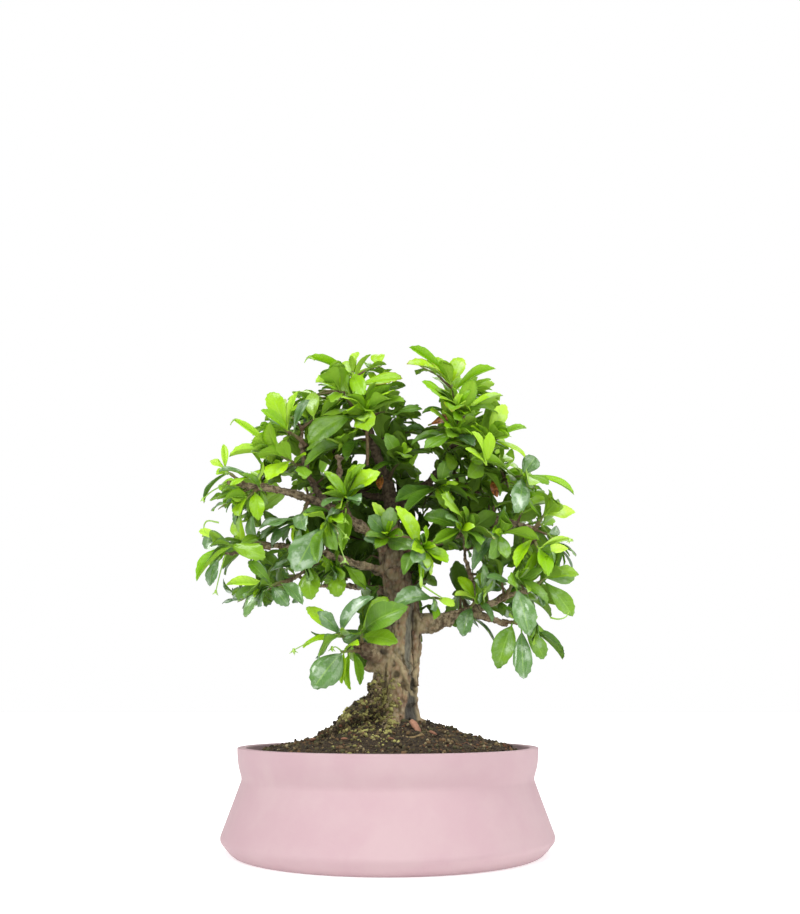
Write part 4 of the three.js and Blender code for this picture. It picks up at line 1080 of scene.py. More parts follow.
# Where the wood is painted brown and dark as shade: the leader, the trunk just under the crown, and the stump.
LEADER_SHADE = (172, 190)
TRUNK_SHADE = 0.6
TRUNK_SHADE_MIDDLE = 4
TRUNK_SHADE_REACH = 14
TRUNK_SHADE_LOW = (124, 140)
TRUNK_SHADE_HIGH = (-176, -164)
STUMP_SHADE = 0.6
STUMP_ACROSS = (6, 11)
STUMP_LOW = (98, 101)
STUMP_HIGH = (-118, -114)


def in_shade(spot):
    """How brown and dark the painted shade makes the wood at a spot."""
    crown = how_deep(spot) * ease(spot.z, *LEADER_SHADE)
    below = TRUNK_SHADE * ease(spot.z, *TRUNK_SHADE_LOW) * ease(-spot.z, *TRUNK_SHADE_HIGH)
    below *= abs(spot.x - TRUNK_SHADE_MIDDLE) < TRUNK_SHADE_REACH
    stump = STUMP_SHADE * ease(-spot.x, *STUMP_ACROSS) * ease(spot.z, *STUMP_LOW) * ease(-spot.z, *STUMP_HIGH)
    return max(crown, below, stump)


CRUST_ACROSS = (-2, 10)
CRUST_TOP = (-92, -74)


def root_crust(spot):
    """How much soil clings to a spot of the left root."""
    return ease(-spot.x, *CRUST_ACROSS) * ease(-spot.z, *CRUST_TOP)


# Soil, moss and what lies on the soil

# The soil: its level, how far and from where it dips at the wall, the mound, the clods and the grains.
SOIL_EDGE = 53.8
SOIL_DIP = 4.2
DIP_START = 63
MOUND_HEIGHT = 17.8
MOUND_X = 4
MOUND_WIDTH_RIGHT = 44
MOUND_WIDTH_LEFT = 43
CLOD = 6
CLOD_HEIGHT = 1.1
GRAIN = 1.4
GRAIN_HEIGHT = 0.5
DUST = 1.1
DUST_HEIGHT = 0.45
# Its top is a fan of rings, closer together towards the wall, and its side follows the wall down.
SOIL_RADIUS = 76.6
SOIL_SIDE = ((SOIL_RADIUS, 46.0), (74.4, 38.5), (79.6, 22.0), (79.0, 16.6))
SOIL_RING_COUNT = 76
SOIL_RING_CROWDING = 0.8
SOIL_SIDES = 220


def soil_height(x, y):
    """The level of the soil at a place, with its clods and grains."""
    from_trunk = math.hypot(x - MOUND_X, y)
    leftness = max(0, (MOUND_X - x) / max(from_trunk, 1))
    width = MOUND_WIDTH_RIGHT + (MOUND_WIDTH_LEFT - MOUND_WIDTH_RIGHT) * leftness
    mound = SOIL_EDGE + MOUND_HEIGHT * math.exp(-((from_trunk / width) ** 2))
    mound -= SOIL_DIP * ease(math.hypot(x, y), DIP_START, SOIL_RADIUS)
    spot = Vector((x, y, 0))
    clods = noise.fractal(spot / CLOD, 0.8, 2.0, 3) * CLOD_HEIGHT
    grains = (noise.cell(spot / GRAIN) - 0.5) * GRAIN_HEIGHT + noise.noise(spot / DUST) * DUST_HEIGHT
    return mound + clods + grains


def make_soil(finish):
    """The mound of soil, closed at the side and below."""
    points = []
    for ring in range(SOIL_RING_COUNT):
        radius = SOIL_RADIUS * ((ring + 1) / SOIL_RING_COUNT) ** SOIL_RING_CROWDING
        for angle in angles(SOIL_SIDES):
            x, y = radius * math.cos(angle), radius * math.sin(angle)
            points.append((x, y, soil_height(x, y)))
    for radius, height in SOIL_SIDE:
        points.extend((radius * math.cos(angle), radius * math.sin(angle), height)
                      for angle in angles(SOIL_SIDES))
    rings = len(points) // SOIL_SIDES
    faces = [face[::-1] for face in ring_faces(rings, SOIL_SIDES)]
    top = len(points)
    points.append((0, 0, soil_height(0, 0)))
    faces.extend([side, (side + 1) % SOIL_SIDES, top] for side in range(SOIL_SIDES))
    faces.append([(rings - 1) * SOIL_SIDES + side for side in range(SOIL_SIDES)][::-1])
    shape = Shape()
    shape.add(points, faces)
    return shape.piece("soil_mound", [finish], ["soil"], 180)


def wood_surface(wood):
    """The finished wood as a tree of faces, in millimetres."""
    points = [vertex.co / MM for vertex in wood.data.vertices]
    faces = [list(polygon.vertices) for polygon in wood.data.polygons]
    return BVHTree.FromPolygons(points, faces)


# Lines of sight run level from before the mound to the back.
BACK = Vector((0, 1, 0))
FRONT = -80
# Crumbs on the mound: how many, how far from the wall, how large, and what share of them stands out.
CRUMB_COUNT = 5200
CRUMB_CLEARANCE = 1.5
CRUMB_SIZE = (0.4, 1.0)
CRUMB_RISE = 0.25
# Crumbs on the left root: how many, the stretch across and up where they may be, how large, how they lie.
ROOT_CRUMB_COUNT = 2600
ROOT_ACROSS = (-46, 56)
ROOT_UP = (54, 36)
ROOT_CRUMB_SIZE = (0.4, 0.9)
ROOT_CRUMB_LIFT = (0, -0.2, 0.2)
ROOT_CRUMB_TINT = 0.95


def make_crumbs(finish, surface):
    """Loose grains of soil, sunk by half into the mound or stuck to the left root."""
    shape = Shape()
    draw = draws(CRUMB_SEED)
    for _ in range(CRUMB_COUNT):
        radius = (SOIL_RADIUS - CRUMB_CLEARANCE) * math.sqrt(draw())
        angle = draw() * math.tau
        x, y = radius * math.cos(angle), radius * math.sin(angle)
        size = CRUMB_SIZE[0] + CRUMB_SIZE[1] * draw() ** 3
        place = Vector((x, y, soil_height(x, y) + size * CRUMB_RISE))
        on_wood, outward, _, away = surface.find_nearest(place)
        if away < size and outward.dot(place - on_wood) < 0:
            continue
        shape.add(*crumb(place, size, draw), tint=draw())
    for _ in range(ROOT_CRUMB_COUNT):
        start = Vector((chance(draw, *ROOT_ACROSS), FRONT, chance(draw, *ROOT_UP)))
        spot = surface.ray_cast(start, BACK)[0]
        if spot is None or draw() > root_crust(spot):
            continue
        size = ROOT_CRUMB_SIZE[0] + ROOT_CRUMB_SIZE[1] * draw() ** 2
        shape.add(*crumb(spot + Vector(ROOT_CRUMB_LIFT), size, draw), tint=ROOT_CRUMB_TINT * draw())
    return shape.piece("soil_crumbs", [finish], (), 60)


# Cushions of moss: how many are tried, the middle and breadth of the stretch where they may be, its foot and
# height, how large they are, how they stand out, and how bright they are, in patches.
MOSS_COUNT = 9000
MOSS_MIDDLE = -12
MOSS_BREADTH = 52
MOSS_UP = (54, 54)
MOSS_SIZE = (0.4, 0.85)
MOSS_RISE = (0, -0.5, 0.3)
MOSS_BRIGHTNESS = 0.5
BRIGHT_PATCHES = 1.2
BRIGHT_PATCH = 2.2
BRIGHT_PATCH_SHIFT = (7, 0, 0)
BRIGHT_CHANCE = 0.4


def make_moss(finish, surface):
    """Small cushions of moss on the left foot of the trunk and the front of the mound."""
    shape = Shape()
    draw = draws(MOSS_SEED)
    for _ in range(MOSS_COUNT):
        start = Vector((MOSS_MIDDLE + MOSS_BREADTH * (draw() - 0.5), FRONT, chance(draw, *MOSS_UP)))
        seen = [spot for spot in (surface.ray_cast(start, BACK)[0], ground_seen(start)) if spot is not None]
        if not seen:
            continue
        spot = min(seen, key=lambda place: place.y)
        if draw() > moss_chance(spot):
            continue
        size = MOSS_SIZE[0] + MOSS_SIZE[1] * draw() ** 2
        patch = noise.noise(spot / BRIGHT_PATCH + Vector(BRIGHT_PATCH_SHIFT))
        bright = MOSS_BRIGHTNESS + BRIGHT_PATCHES * patch
        spot = spot + Vector(MOSS_RISE) * draw()
        cushion = crumb(spot, size, draw)
        shape.add(*cushion, tint=clamp(bright + BRIGHT_CHANCE * (draw() - 0.5)))
    return shape.piece("moss_cushions", [finish], (), 60)


SIGHT_STEPS = 120
SIGHT_STEP = 0.8


def ground_seen(start):
    """Where a level line towards the back first meets the mound."""
    for step in range(SIGHT_STEPS):
        y = start.y + step * SIGHT_STEP
        if math.hypot(start.x, y) < SOIL_RADIUS and soil_height(start.x, y) > start.z:
            return Vector((start.x, y, start.z))
    return None


# Tufts: their lengths and how much more the larger ones count. Then where moss thins out.
TUFT = 2.6
LARGE_TUFT = 7
LARGE_TUFT_SHARE = 0.45
TUFT_EDGE = (-0.02, 0.26)
MOSS_RIGHT = (-9, 1)
MOSS_LEFT = (-30, -20)
FAR_LEFT = (0.12, 0.88)
MOSS_CEILING = (-98, -80)
MOSS_FLOOR = (56, 68)
AT_FLOOR = (0.07, 0.93)


def moss_chance(spot):
    """Most moss is low on the left flare, and it comes in tufts."""
    tuft = ease(noise.noise(spot / TUFT) + LARGE_TUFT_SHARE * noise.noise(spot / LARGE_TUFT), *TUFT_EDGE)
    left = ease(-spot.x, *MOSS_RIGHT) * (FAR_LEFT[0] + FAR_LEFT[1] * ease(spot.x, *MOSS_LEFT))
    low = ease(-spot.z, *MOSS_CEILING)
    return tuft * left * low * (AT_FLOOR[0] + AT_FLOOR[1] * ease(spot.z, *MOSS_FLOOR))


# Chips of bark on the mound: place, heading, lean, half sizes.
CHIPS = (
    ((14.5, -26), -0.6, 0.95, (5.6, 2.6, 1.8)), ((24, -30), -0.5, 0.4, (2.4, 1.0, 0.8)),
    ((-22, -36), 0.3, 0.1, (2.6, 1.3, 0.9)), ((30, -20), 1.7, 0.2, (3.2, 1.1, 0.8)),
    ((-40, -18), 2.2, 0.3, (3.0, 1.2, 1.0)), ((22, 24), 0.4, 0.2, (3.4, 1.3, 1.0)),
    ((-18, 30), 1.2, 0.1, (3.0, 1.4, 0.9)), ((48, 6), 2.6, 0.2, (2.8, 1.2, 0.8)),
    ((2, -44), 0.1, 0.2, (2.4, 1.1, 0.8)),
)
# The pale root that loops out of the mound below the large chip.
LOOP_ROOT = ((5, -31, 61), (7.5, -35, 62), (11, -37, 61.4), (14.5, -37, 61.8), (18, -34, 63), (19, -30, 61))
CHIP_LIFT = 0.6
CHIP_TINT = (0.7, 0.3)
LOOP_ROOT_RADIUS = 0.75
LOOP_ROOT_RINGS = 16
# The loose roots: how many, how far out, half their length, their thickness, how they bend and how they lie.
LITTER_COUNT = 130
LITTER_RADIUS = (16, 58)
LITTER_REACH = (2, 5)
LITTER_THICKNESS = (0.16, 0.3)
LITTER_RINGS = 7
LITTER_SIDES = 6
LITTER_BEND = 1.4
LITTER_SINK = 3
LITTER_CLEARANCE = 2
LITTER_TINT = 0.75


def loose_root(draw):
    """A thin root on the soil, bent by chance, with both ends in the soil."""
    radius = chance(draw, *LITTER_RADIUS)
    angle = draw() * math.tau
    heading = draw() * math.tau
    reach = LITTER_REACH[0] + LITTER_REACH[1] * draw() ** 2
    thick = LITTER_THICKNESS[0] + LITTER_THICKNESS[1] * draw() ** 2
    middle = Vector((radius * math.cos(angle), radius * math.sin(angle), 0))
    route, radii = [], []
    for step in range(LITTER_RINGS):
        t = step / (LITTER_RINGS - 1) - 0.5
        turn = heading + LITTER_BEND * t * (draw() + 0.4)
        spot = middle + Vector((math.cos(turn), math.sin(turn), 0)) * reach * 2 * t
        edge = SOIL_RADIUS - LITTER_CLEARANCE
        if math.hypot(spot.x, spot.y) > edge:
            spot *= edge / math.hypot(spot.x, spot.y)
        spot.z = soil_height(spot.x, spot.y) + thick * (0.5 - LITTER_SINK * t * t)
        route.append(spot)
        radii.append(thick * (1 - 0.5 * abs(2 * step / (LITTER_RINGS - 1) - 1)))
    return tube(route, radii, LITTER_SIDES)


def bark_chip(place, heading, lean, size, draw):
    """A flat chip that leans out of the soil."""
    middle = Vector((place[0], place[1], soil_height(place[0], place[1]) + CHIP_LIFT + lean))
    lump, faces = crumb(middle, 1.0, draw)
    turn = Matrix.Rotation(heading, 3, "Z") @ Matrix.Rotation(lean, 3, "Y")
    stretch = Vector(size)
    return [middle + turn @ ((point - middle) * stretch) for point in lump], faces


def make_litter(finish):
    """Thin roots and chips of bark that lie half sunk in the soil."""
    shape = Shape()
    draw = draws(LITTER_SEED)
    for _ in range(LITTER_COUNT):
        shape.add(*loose_root(draw), tint=draw() ** 2 * LITTER_TINT)
    loop = spline(LOOP_ROOT, LOOP_ROOT_RINGS)
    shape.add(*tube(loop, [LOOP_ROOT_RADIUS] * LOOP_ROOT_RINGS, 7), tint=0.35)
    for place, heading, lean, size in CHIPS:
        draw = draws(int(CHIP_SEED + place[0]))
        shape.add(*bark_chip(place, heading, lean, size, draw), tint=chance(draw, *CHIP_TINT))
    return shape.piece("roots_and_bark_chips", [finish], (), 60)


# Leaves: where each one stands on the frame

class Leaf:
    """Where a leaf stands: its root, its way to the tip, the normal of its upper face, length and width."""

    def __init__(self, root, tip, face, roll, width):
        self.root = root
        self.length = (tip - root).length
        self.along = (tip - root).normalized()
        normal = (face - self.along * face.dot(self.along)).normalized()
        self.normal = Matrix.Rotation(roll, 3, self.along) @ normal
        self.across = self.along.cross(self.normal)
        self.width = width

    def point(self, place, half, side):
        """A point of the blade: how far along, how many widths from the rib, and on which side."""
        rise = self.length * ARCH * 4 * place * (1 - place) + FOLD * half * self.width
        aside = self.across * (side * half * self.width)
        return self.root + self.along * (place * self.length) + aside + self.normal * rise

    def tip_corners(self):
        """The corners at the tip of the frame's solid for this leaf. Longer leaves have rounder tips."""
        place, half = YOUNG_TIP
        if self.length > GROWN_LENGTH:
            place, half = GROWN_TIP
        if self.length > BROAD_LENGTH:
            place, half = BROAD_TIP
        lift = self.normal * BLADE / 2
        ends = [self.point(place, half, side) for side in (1, -1)]
        return [end + lift for end in ends] + [end - lift for end in ends]


def twig_point(shoot, place):
    """A point of a shoot's twig, which arches up in its middle, at a place from 0 to 1 along it."""
    start, end = Vector(shoot.start), Vector(shoot.end)
    bow = start.lerp(end, 0.5) + Vector((0, 0, shoot.arch))
    return start.lerp(bow, 2 * place) if place < 0.5 else bow.lerp(end, 2 * place - 1)


def named_leaf(shoot, own, attempt):
    """A leaf that stands out, as the frame's rule puts it: each attempt has another depth or roll."""
    place, x, y, z, width = own
    root = twig_point(shoot, min(place, LAST_LEAF))
    seen = Vector((x, y, z))
    tip = seen + (seen - Vector(EYE)).normalized() * DEPTH_SHIFTS[attempt % len(DEPTH_SHIFTS)]
    face = Vector(FRONT_FACE)
    face.x *= math.copysign(1, x)
    roll = ROLLS[attempt // len(DEPTH_SHIFTS)] + FRONT_SWAY * math.sin(2 * x + z)
    return Leaf(root, tip, face, roll, width * FRONT_BREADTH)


def ruled_leaf(shoot, shoot_number, leaf_number, count, attempt):
    """A leaf of the frame's rule: it stands round the twig and turns on with each attempt."""
    draw = draws(shoot_number * 100 + leaf_number)
    place = FIRST_LEAF + (LAST_LEAF - FIRST_LEAF) * (leaf_number + 1) / count
    root = twig_point(shoot, min(place, LAST_LEAF))
    ahead = (twig_point(shoot, 1) - twig_point(shoot, 0)).normalized()
    across = square_to(ahead)
    over = ahead.cross(across)
    angle = leaf_number * GOLDEN_ANGLE + draw() + shoot_number + attempt * TURN_PER_TRY
    outward = Vector((shoot.end[0], shoot.end[1], shoot.end[2] - CROWN_MIDDLE)).normalized()
    spread = SPREAD_AT_ROOT - SPREAD_LOSS * place + SPREAD_CHANCE * draw()
    way = ahead * math.cos(spread) + across * math.sin(spread) * math.cos(angle)
    way += over * math.sin(spread) * math.sin(angle) + outward * OUTWARD_PULL
    way.z += RISE_CHANCE * (1 - 2 * draw())
    way.normalize()
    length = shoot.size * (SHORTEST + LENGTH_CHANCE * draw())
    face = outward + Vector((0, 0, UPWARD_FACE))
    roll = TWIST_CHANCE * (2 * draw() - 1)
    width = length * LEAF_SLIMNESS * (1 - BREADTH_CHANCE * (0.5 - draw()))
    return Leaf(root, root + way * length, face, roll, width)


def leaf_on_frame(leaf_at, corners):
    """The first place of a leaf whose tip is a corner of the frame's own leaf, or None if it isn't there."""
    for attempt in range(LEAF_TRIES):
        leaf = leaf_at(attempt)
        found = [corners.find(corner)[2] < CORNER_REACH for corner in leaf.tip_corners()]
        if sum(found) > 1:
            return leaf
    return None


def corners_of(node):
    """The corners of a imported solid, in millimetres, ready to be searched."""
    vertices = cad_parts[node].data.vertices
    tree = KDTree(len(vertices))
    for i, vertex in enumerate(vertices):
        tree.insert(vertex.co / MM, i)
    tree.balance()
    return tree


# Leaves: the blade itself

# The grid of a blade: places along it, places across it, and how far the rim stands out in each toothed row.
FINE_BLADE = (
    (0.0, 0.07, 0.16, 0.27, 0.39, 0.51, 0.62, 0.71, 0.785, 0.85, 0.905, 0.955, 0.992),
    (-1.0, -0.72, -0.38, 0.0, 0.38, 0.72, 1.0),
    {7: 1.03, 8: 0.94, 9: 1.09, 10: 0.87, 11: 1.14},
)
PLAIN_BLADE = (
    (0.0, 0.12, 0.27, 0.44, 0.6, 0.72, 0.82, 0.9, 0.96, 0.992),
    (-1.0, -0.5, 0.0, 0.5, 1.0),
    {5: 1.04, 6: 0.94, 7: 1.1, 8: 0.9},
)
# Where the blade starts: past its stalk, and further along where the leaf is longer than a blade may be.
STALK = 0.07
LONGEST_BLADE = 27
LATEST_START = 0.5
SLIMMEST = 0.4
BLADE_SHARE = 0.86
# How a blade varies: spoon shape, droop of the tip, curl and wave of the sides, twist, fold and thickness.
SPOON = 0.7
DROOP = (0.03, 0.2)
DROOP_YOUTH = 1.1
CURL = 0.24
LEAST_CURL = 0.04
WAVE = 0.09
WAVE_RATE = 9
BLADE_TWIST = 0.6
FOLD_CHANCE = 0.2
MOST_FOLD = 1.5
HALF_THICKNESS = (0.17, 0.06)
# The tip is cut back a little towards its corners, and the first row doesn't start in a point.
TIP_START = 0.98
TIP_CUT = 0.02
FIRST_ROW = 0.012
# The rib below the blade: how far it goes, how deep it starts in the twig, and its radii.
RIB_END = 0.8
RIB_INSET = 0.4
RIB_FOOT = 0.62
RIB_RADIUS = 0.5
RIB_TAPER = 0.42
RIB_SIDES = 5


def half_breadth(place, spoon):
    """Half the blade's breadth at a place along it, at most a half. A high spoon is widest near the tip."""
    power = 0.8 + 0.35 * spoon
    tail = 1.7 + 1.5 * spoon
    point = 0.88 - 0.24 * spoon
    whole = power + point * tail
    widest = (power / whole) ** (power / tail) * (point * tail / whole) ** point
    return 0.5 * place ** power * (1 - place ** tail) ** point / widest


def add_leaf(shape, leaf, looks, blade_grid, draw):
    """One leaf: a thin toothed blade, folded along its rib and curled, on its stalk."""
    youth, grey, rust, deep = looks
    blade_rows, blade_columns, teeth = blade_grid
    start = max(STALK, min(LATEST_START, 1 - LONGEST_BLADE / leaf.length))
    spoon = SPOON * draw()
    droop = leaf.length * (DROOP[0] + DROOP[1] * draw() * (DROOP_YOUTH - youth))
    curl = leaf.width * (CURL * draw() - LEAST_CURL)
    wave = leaf.width * WAVE * draw()
    phase = draw() * ANY_TURN
    twist = BLADE_TWIST * (draw() - 0.5)
    blade = leaf.length * (1 - start)
    true_width = max(leaf.width, SLIMMEST * blade)
    fold = FOLD + FOLD_CHANCE * draw() + math.sqrt(max(0, min(MOST_FOLD, true_width / leaf.width) ** 2 - 1))
    thick = HALF_THICKNESS[0] + HALF_THICKNESS[1] * (1 - youth)

    def at(along, across, lift):
        u = start + (1 - start) * along
        aside = across * (half_breadth(along, spoon) * leaf.width * BLADE_SHARE)
        rise = leaf.length * ARCH * 4 * u * (1 - u) + fold * abs(aside)
        rise -= droop * u ** 3 + curl * abs(across) ** 3 * math.sin(math.pi * along)
        rise += wave * math.sin(WAVE_RATE * along + phase + across) * abs(across) ** 2
        turn = twist * along ** 2
        back = leaf.length * TIP_CUT * across ** 2 if along > TIP_START else 0
        spot = leaf.root + leaf.along * (u * leaf.length - back)
        spot += leaf.across * (aside * math.cos(turn) - rise * math.sin(turn) * 0.5)
        return spot + leaf.normal * (rise + aside * math.sin(turn) + lift)

    points, places, upper, lower = [], [], {}, {}
    rows, columns = len(blade_rows), len(blade_columns)
    for (i, along), (j, across) in product(enumerate(blade_rows), enumerate(blade_columns)):
        toothed = across * teeth.get(i, 1.0) if abs(across) == 1 else across
        rim = i in (0, rows - 1) or j in (0, columns - 1)
        upper[i, j] = lower[i, j] = len(points)
        points.append(at(max(along, FIRST_ROW), toothed, 0 if rim else thick))
        places.append((along, across, 1.0))
        if not rim:
            lower[i, j] = len(points)
            points.append(at(along, toothed, -thick))
            places.append((along, across, 0.0))
    faces = []
    for i, j in product(range(rows - 1), range(columns - 1)):
        faces.append([upper[i, j], upper[i, j + 1], upper[i + 1, j + 1], upper[i + 1, j]])
        faces.append([lower[i, j], lower[i + 1, j], lower[i + 1, j + 1], lower[i, j + 1]])
    told = {"leaf_kind": (youth, grey, rust), "leaf_tone": draw(), "leaf_shade": deep, "twig_place": 0.0}
    shape.add(points, faces, leaf_place=places, **told)
    steps = [step / (columns - 1) for step in range(columns)]
    route = [leaf.root - leaf.along * RIB_INSET, *(at(step * RIB_END, 0, -thick) for step in steps)]
    radii = [RIB_FOOT] + [RIB_RADIUS - RIB_TAPER * k / (columns - 1) for k in range(columns)]
    shape.add(*tube(route, radii, RIB_SIDES), leaf_place=(0.5, 0.0, 0.3), **told)


# Leaves: how many more, and where they may be

MORE_LEAVES = 9
MORE_LEAF_SHARE = 0.86
MORE_LEAF_START = 40
TIP_LEAVES = 3
MORE_TRIES = 9
NEAR = 30
# The lower trunk stays in sight: across, and up to here.
TRUNK_ACROSS = (-18, 24)
TRUNK_IN_SIGHT = 140
# Points of a blade at its rim, from its foot to near its tip: place along, widths from the rib.
RIM_FOOT = (0.12, 0.0)
RIM_SIDE = ((0.4, 0.3), (0.7, 0.5), (0.97, 0.25))
BLADE_MIDDLE = (0.6, 0, 1)
CROWN_TESTS = ((1, 0, 1), (0.5, 0, 1), (0.7, 0.5, 1), (0.7, 0.5, -1))
# The crown as a round form, for what is deep in its shade: middle, reach to the sides, front, back and top.
SHADE_MIDDLE = Vector((0, 0, 190))
SHADE_ASIDE = 104
SHADE_FRONT = 42
SHADE_BACK = 78
SHADE_UP = 92
SHADE_EDGE = (0.4, 0.95)


def seen_at(point):
    """A point as seen from the front, moved to the plane through the middle of the tree."""
    scale = -EYE[1] / (point.y - EYE[1])
    return EYE[0] + (point.x - EYE[0]) * scale, EYE[2] + (point.z - EYE[2]) * scale


def hides_trunk(leaf):
    """Whether a leaf stands before the lower trunk."""
    tip = leaf.point(1, 0, 1)
    x, z = seen_at(tip)
    return tip.y < 0 and TRUNK_ACROSS[0] < x < TRUNK_ACROSS[1] and z < TRUNK_IN_SIGHT


def shuts_gap(leaf):
    """Whether a leaf, seen from the front, reaches into one of the gaps."""
    rim = [Vector(seen_at(point)) for point in blade_rim(leaf)]
    sides = list(zip(rim, rim[1:] + rim[:1]))
    middle = Vector(seen_at(leaf.point(0.5, 0, 1)))
    for x, z, radius in SEE_THROUGH:
        gap = Vector((x, z))
        if (gap - middle).length > leaf.length:
            continue
        if any(nearest_on_line(gap, start, end) < radius for start, end in sides):
            return True
        turns = [(end.x - start.x) * (gap.y - start.y) - (end.y - start.y) * (gap.x - start.x)
                 for start, end in sides]
        if min(turns) > 0 or max(turns) < 0:
            return True
    return False


def crown_row(z):
    """The crown's row nearest to a height, seen from the front."""
    return min(CROWN_ROWS, key=lambda row: abs(row[0] - z))


def inside_crown(leaf):
    """Whether a leaf keeps to the crown's outline and leaves the trunk and the gaps in sight."""
    if hides_trunk(leaf):
        return False
    for place, half, side in CROWN_TESTS:
        point = leaf.point(place, half, side)
        x, z = seen_at(point)
        _, left, right = crown_row(z)
        if abs(point.y) > CROWN_DEPTH or point.z < CROWN_ROWS[0][0] or z > CROWN_ROWS[-1][0]:
            return False
        if not left < x < right:
            return False
    return not shuts_gap(leaf)


def how_deep(point):
    """0 at the outside of the crown and 1 in its middle. The crown is less deep in front."""
    reach = Vector((SHADE_ASIDE, SHADE_FRONT if point[1] < 0 else SHADE_BACK, SHADE_UP))
    away = Vector([(point[i] - SHADE_MIDDLE[i]) / reach[i] for i in range(3)]).length
    return 1 - ease(away, *SHADE_EDGE)


def blade_rim(leaf):
    """Points round a blade's rim."""
    rim = [leaf.point(*RIM_FOOT, 1)] + [leaf.point(*spot, 1) for spot in RIM_SIDE]
    return rim + [leaf.point(*spot, -1) for spot in RIM_SIDE[::-1]]


def coarse_blade(leaf):
    """A few triangles in the leaf's place, to test what it meets."""
    rim = blade_rim(leaf)
    count = len(rim)
    fan = [(count, i, (i + 1) % count) for i in range(count)]
    return BVHTree.FromPolygons([*rim, leaf.point(*BLADE_MIDDLE)], fan)


class Crowd:
    """The leaves that are placed, so that another can be kept clear of them."""

    def __init__(self, wood):
        self.wood = wood
        self.cells = {}

    def cell(self, spot):
        """Which cube of space a spot is in."""
        return tuple(int(value // NEAR) for value in spot)

    def take(self, leaf):
        """Keeps a leaf in mind."""
        middle = leaf.point(*BLADE_MIDDLE)
        self.cells.setdefault(self.cell(middle), []).append((middle, coarse_blade(leaf)))

    def near(self, spot, reach):
        """What is placed within a reach of a spot."""
        x, y, z = self.cell(spot)
        for cell in product((x - 1, x, x + 1), (y - 1, y, y + 1), (z - 1, z, z + 1)):
            for middle, blade in self.cells.get(cell, ()):
                if (middle - spot).length < reach:
                    yield blade

    def free(self, leaf):
        """Whether a leaf would meet neither the wood nor a leaf that is placed."""
        blade = coarse_blade(leaf)
        if blade.overlap(self.wood):
            return False
        return not any(blade.overlap(other) for other in self.near(leaf.point(*BLADE_MIDDLE), NEAR))


# What makes a leaf young: a start, then height, outside, place on the twig and chance. What makes it grey.
LOW_TO_HIGH = (110, 275)
IN_TO_OUT = (25, 95)
YOUTH_START = 0.23
YOUTH_OF_HEIGHT = 0.32
YOUTH_OF_OUTSIDE = 0.24
YOUTH_OF_PLACE = 0.2
YOUTH_CHANCE = 0.3
# Deep in the crown a leaf is older, and its colour is darker as painted shade.
DEEP_AGING_AND_SHADE = 0.4
GREY_LOSS_OF_HEIGHT = 0.4
GREY_OF_LEFT = 0.24
LEFT_SIDE = (20, 80)
GREY_EDGE = (0.22, 0.78)
RUSTY_ABOVE = 0.96
RUSTY = 0.45


def looks_by_place(leaf, place, draw):
    """Young and bright at the top, the outside and the twig's end; dark and grey low; older and darker inside,
    as painted shade.
    """
    tip = leaf.root + leaf.along * leaf.length
    height = ease(tip.z, *LOW_TO_HIGH)
    outside = ease(math.hypot(tip.x, tip.y), *IN_TO_OUT)
    youth = YOUTH_START + YOUTH_OF_HEIGHT * height + YOUTH_OF_OUTSIDE * outside * height
    youth = youth + YOUTH_OF_PLACE * place * draw() + YOUTH_CHANCE * (draw() - 0.5)
    grey = ease(draw() - GREY_LOSS_OF_HEIGHT * height + GREY_OF_LEFT * ease(-tip.x, *LEFT_SIDE), *GREY_EDGE)
    rust = RUSTY if draw() > RUSTY_ABOVE else 0.0
    deep = how_deep(leaf.point(*BLADE_MIDDLE))
    return clamp(youth * (1 - DEEP_AGING_AND_SHADE * deep)), grey * (1 - deep), rust, deep


# The leaves at a twig's end: from where on the twig they point ahead, where they stand, how far they spread and
# rise, how long they are, how slim, how much they face ahead and up, and how they roll.
AHEAD_FROM = 0.6
TIP_LEAF_ROOT = 0.98
TIP_LEAF_TURN = 6
TIP_LEAF_SPREAD = (0.25, 0.35)
TIP_LEAF_RISE = 0.25
TIP_LEAF_LENGTH = (8, 6)
TIP_LEAF_SLIMNESS = 0.42
FACE_AHEAD = 0.4
FACE_UP = (0, 0, 0.3)
TIP_LEAF_ROLL = 0.4


def tip_leaf(shoot, number, draw):
    """One of the small leaves that open at the end of a twig."""
    ahead = (twig_point(shoot, 1) - twig_point(shoot, AHEAD_FROM)).normalized()
    across = square_to(ahead)
    over = ahead.cross(across)
    angle = number * GOLDEN_ANGLE + draw() * TIP_LEAF_TURN
    spread = chance(draw, *TIP_LEAF_SPREAD)
    aside = across * math.cos(angle) + over * math.sin(angle)
    way = ahead * math.cos(spread)
    way += aside * math.sin(spread)
    way.z += TIP_LEAF_RISE
    way.normalize()
    root = twig_point(shoot, TIP_LEAF_ROOT)
    length = chance(draw, *TIP_LEAF_LENGTH)
    face = ahead * FACE_AHEAD - aside + Vector(FACE_UP)
    return Leaf(root, root + way * length, face, TIP_LEAF_ROLL * (draw() - 0.5), length * TIP_LEAF_SLIMNESS)


def more_leaf(shoot, shoot_number, leaf_number, attempt):
    """One more leaf of the rule, a little smaller, for the thick of the crown."""
    smaller = shoot._replace(size=shoot.size * MORE_LEAF_SHARE)
    number, count = MORE_LEAF_START + leaf_number, MORE_LEAF_START + MORE_LEAVES
    return ruled_leaf(smaller, shoot_number, number, count, attempt)


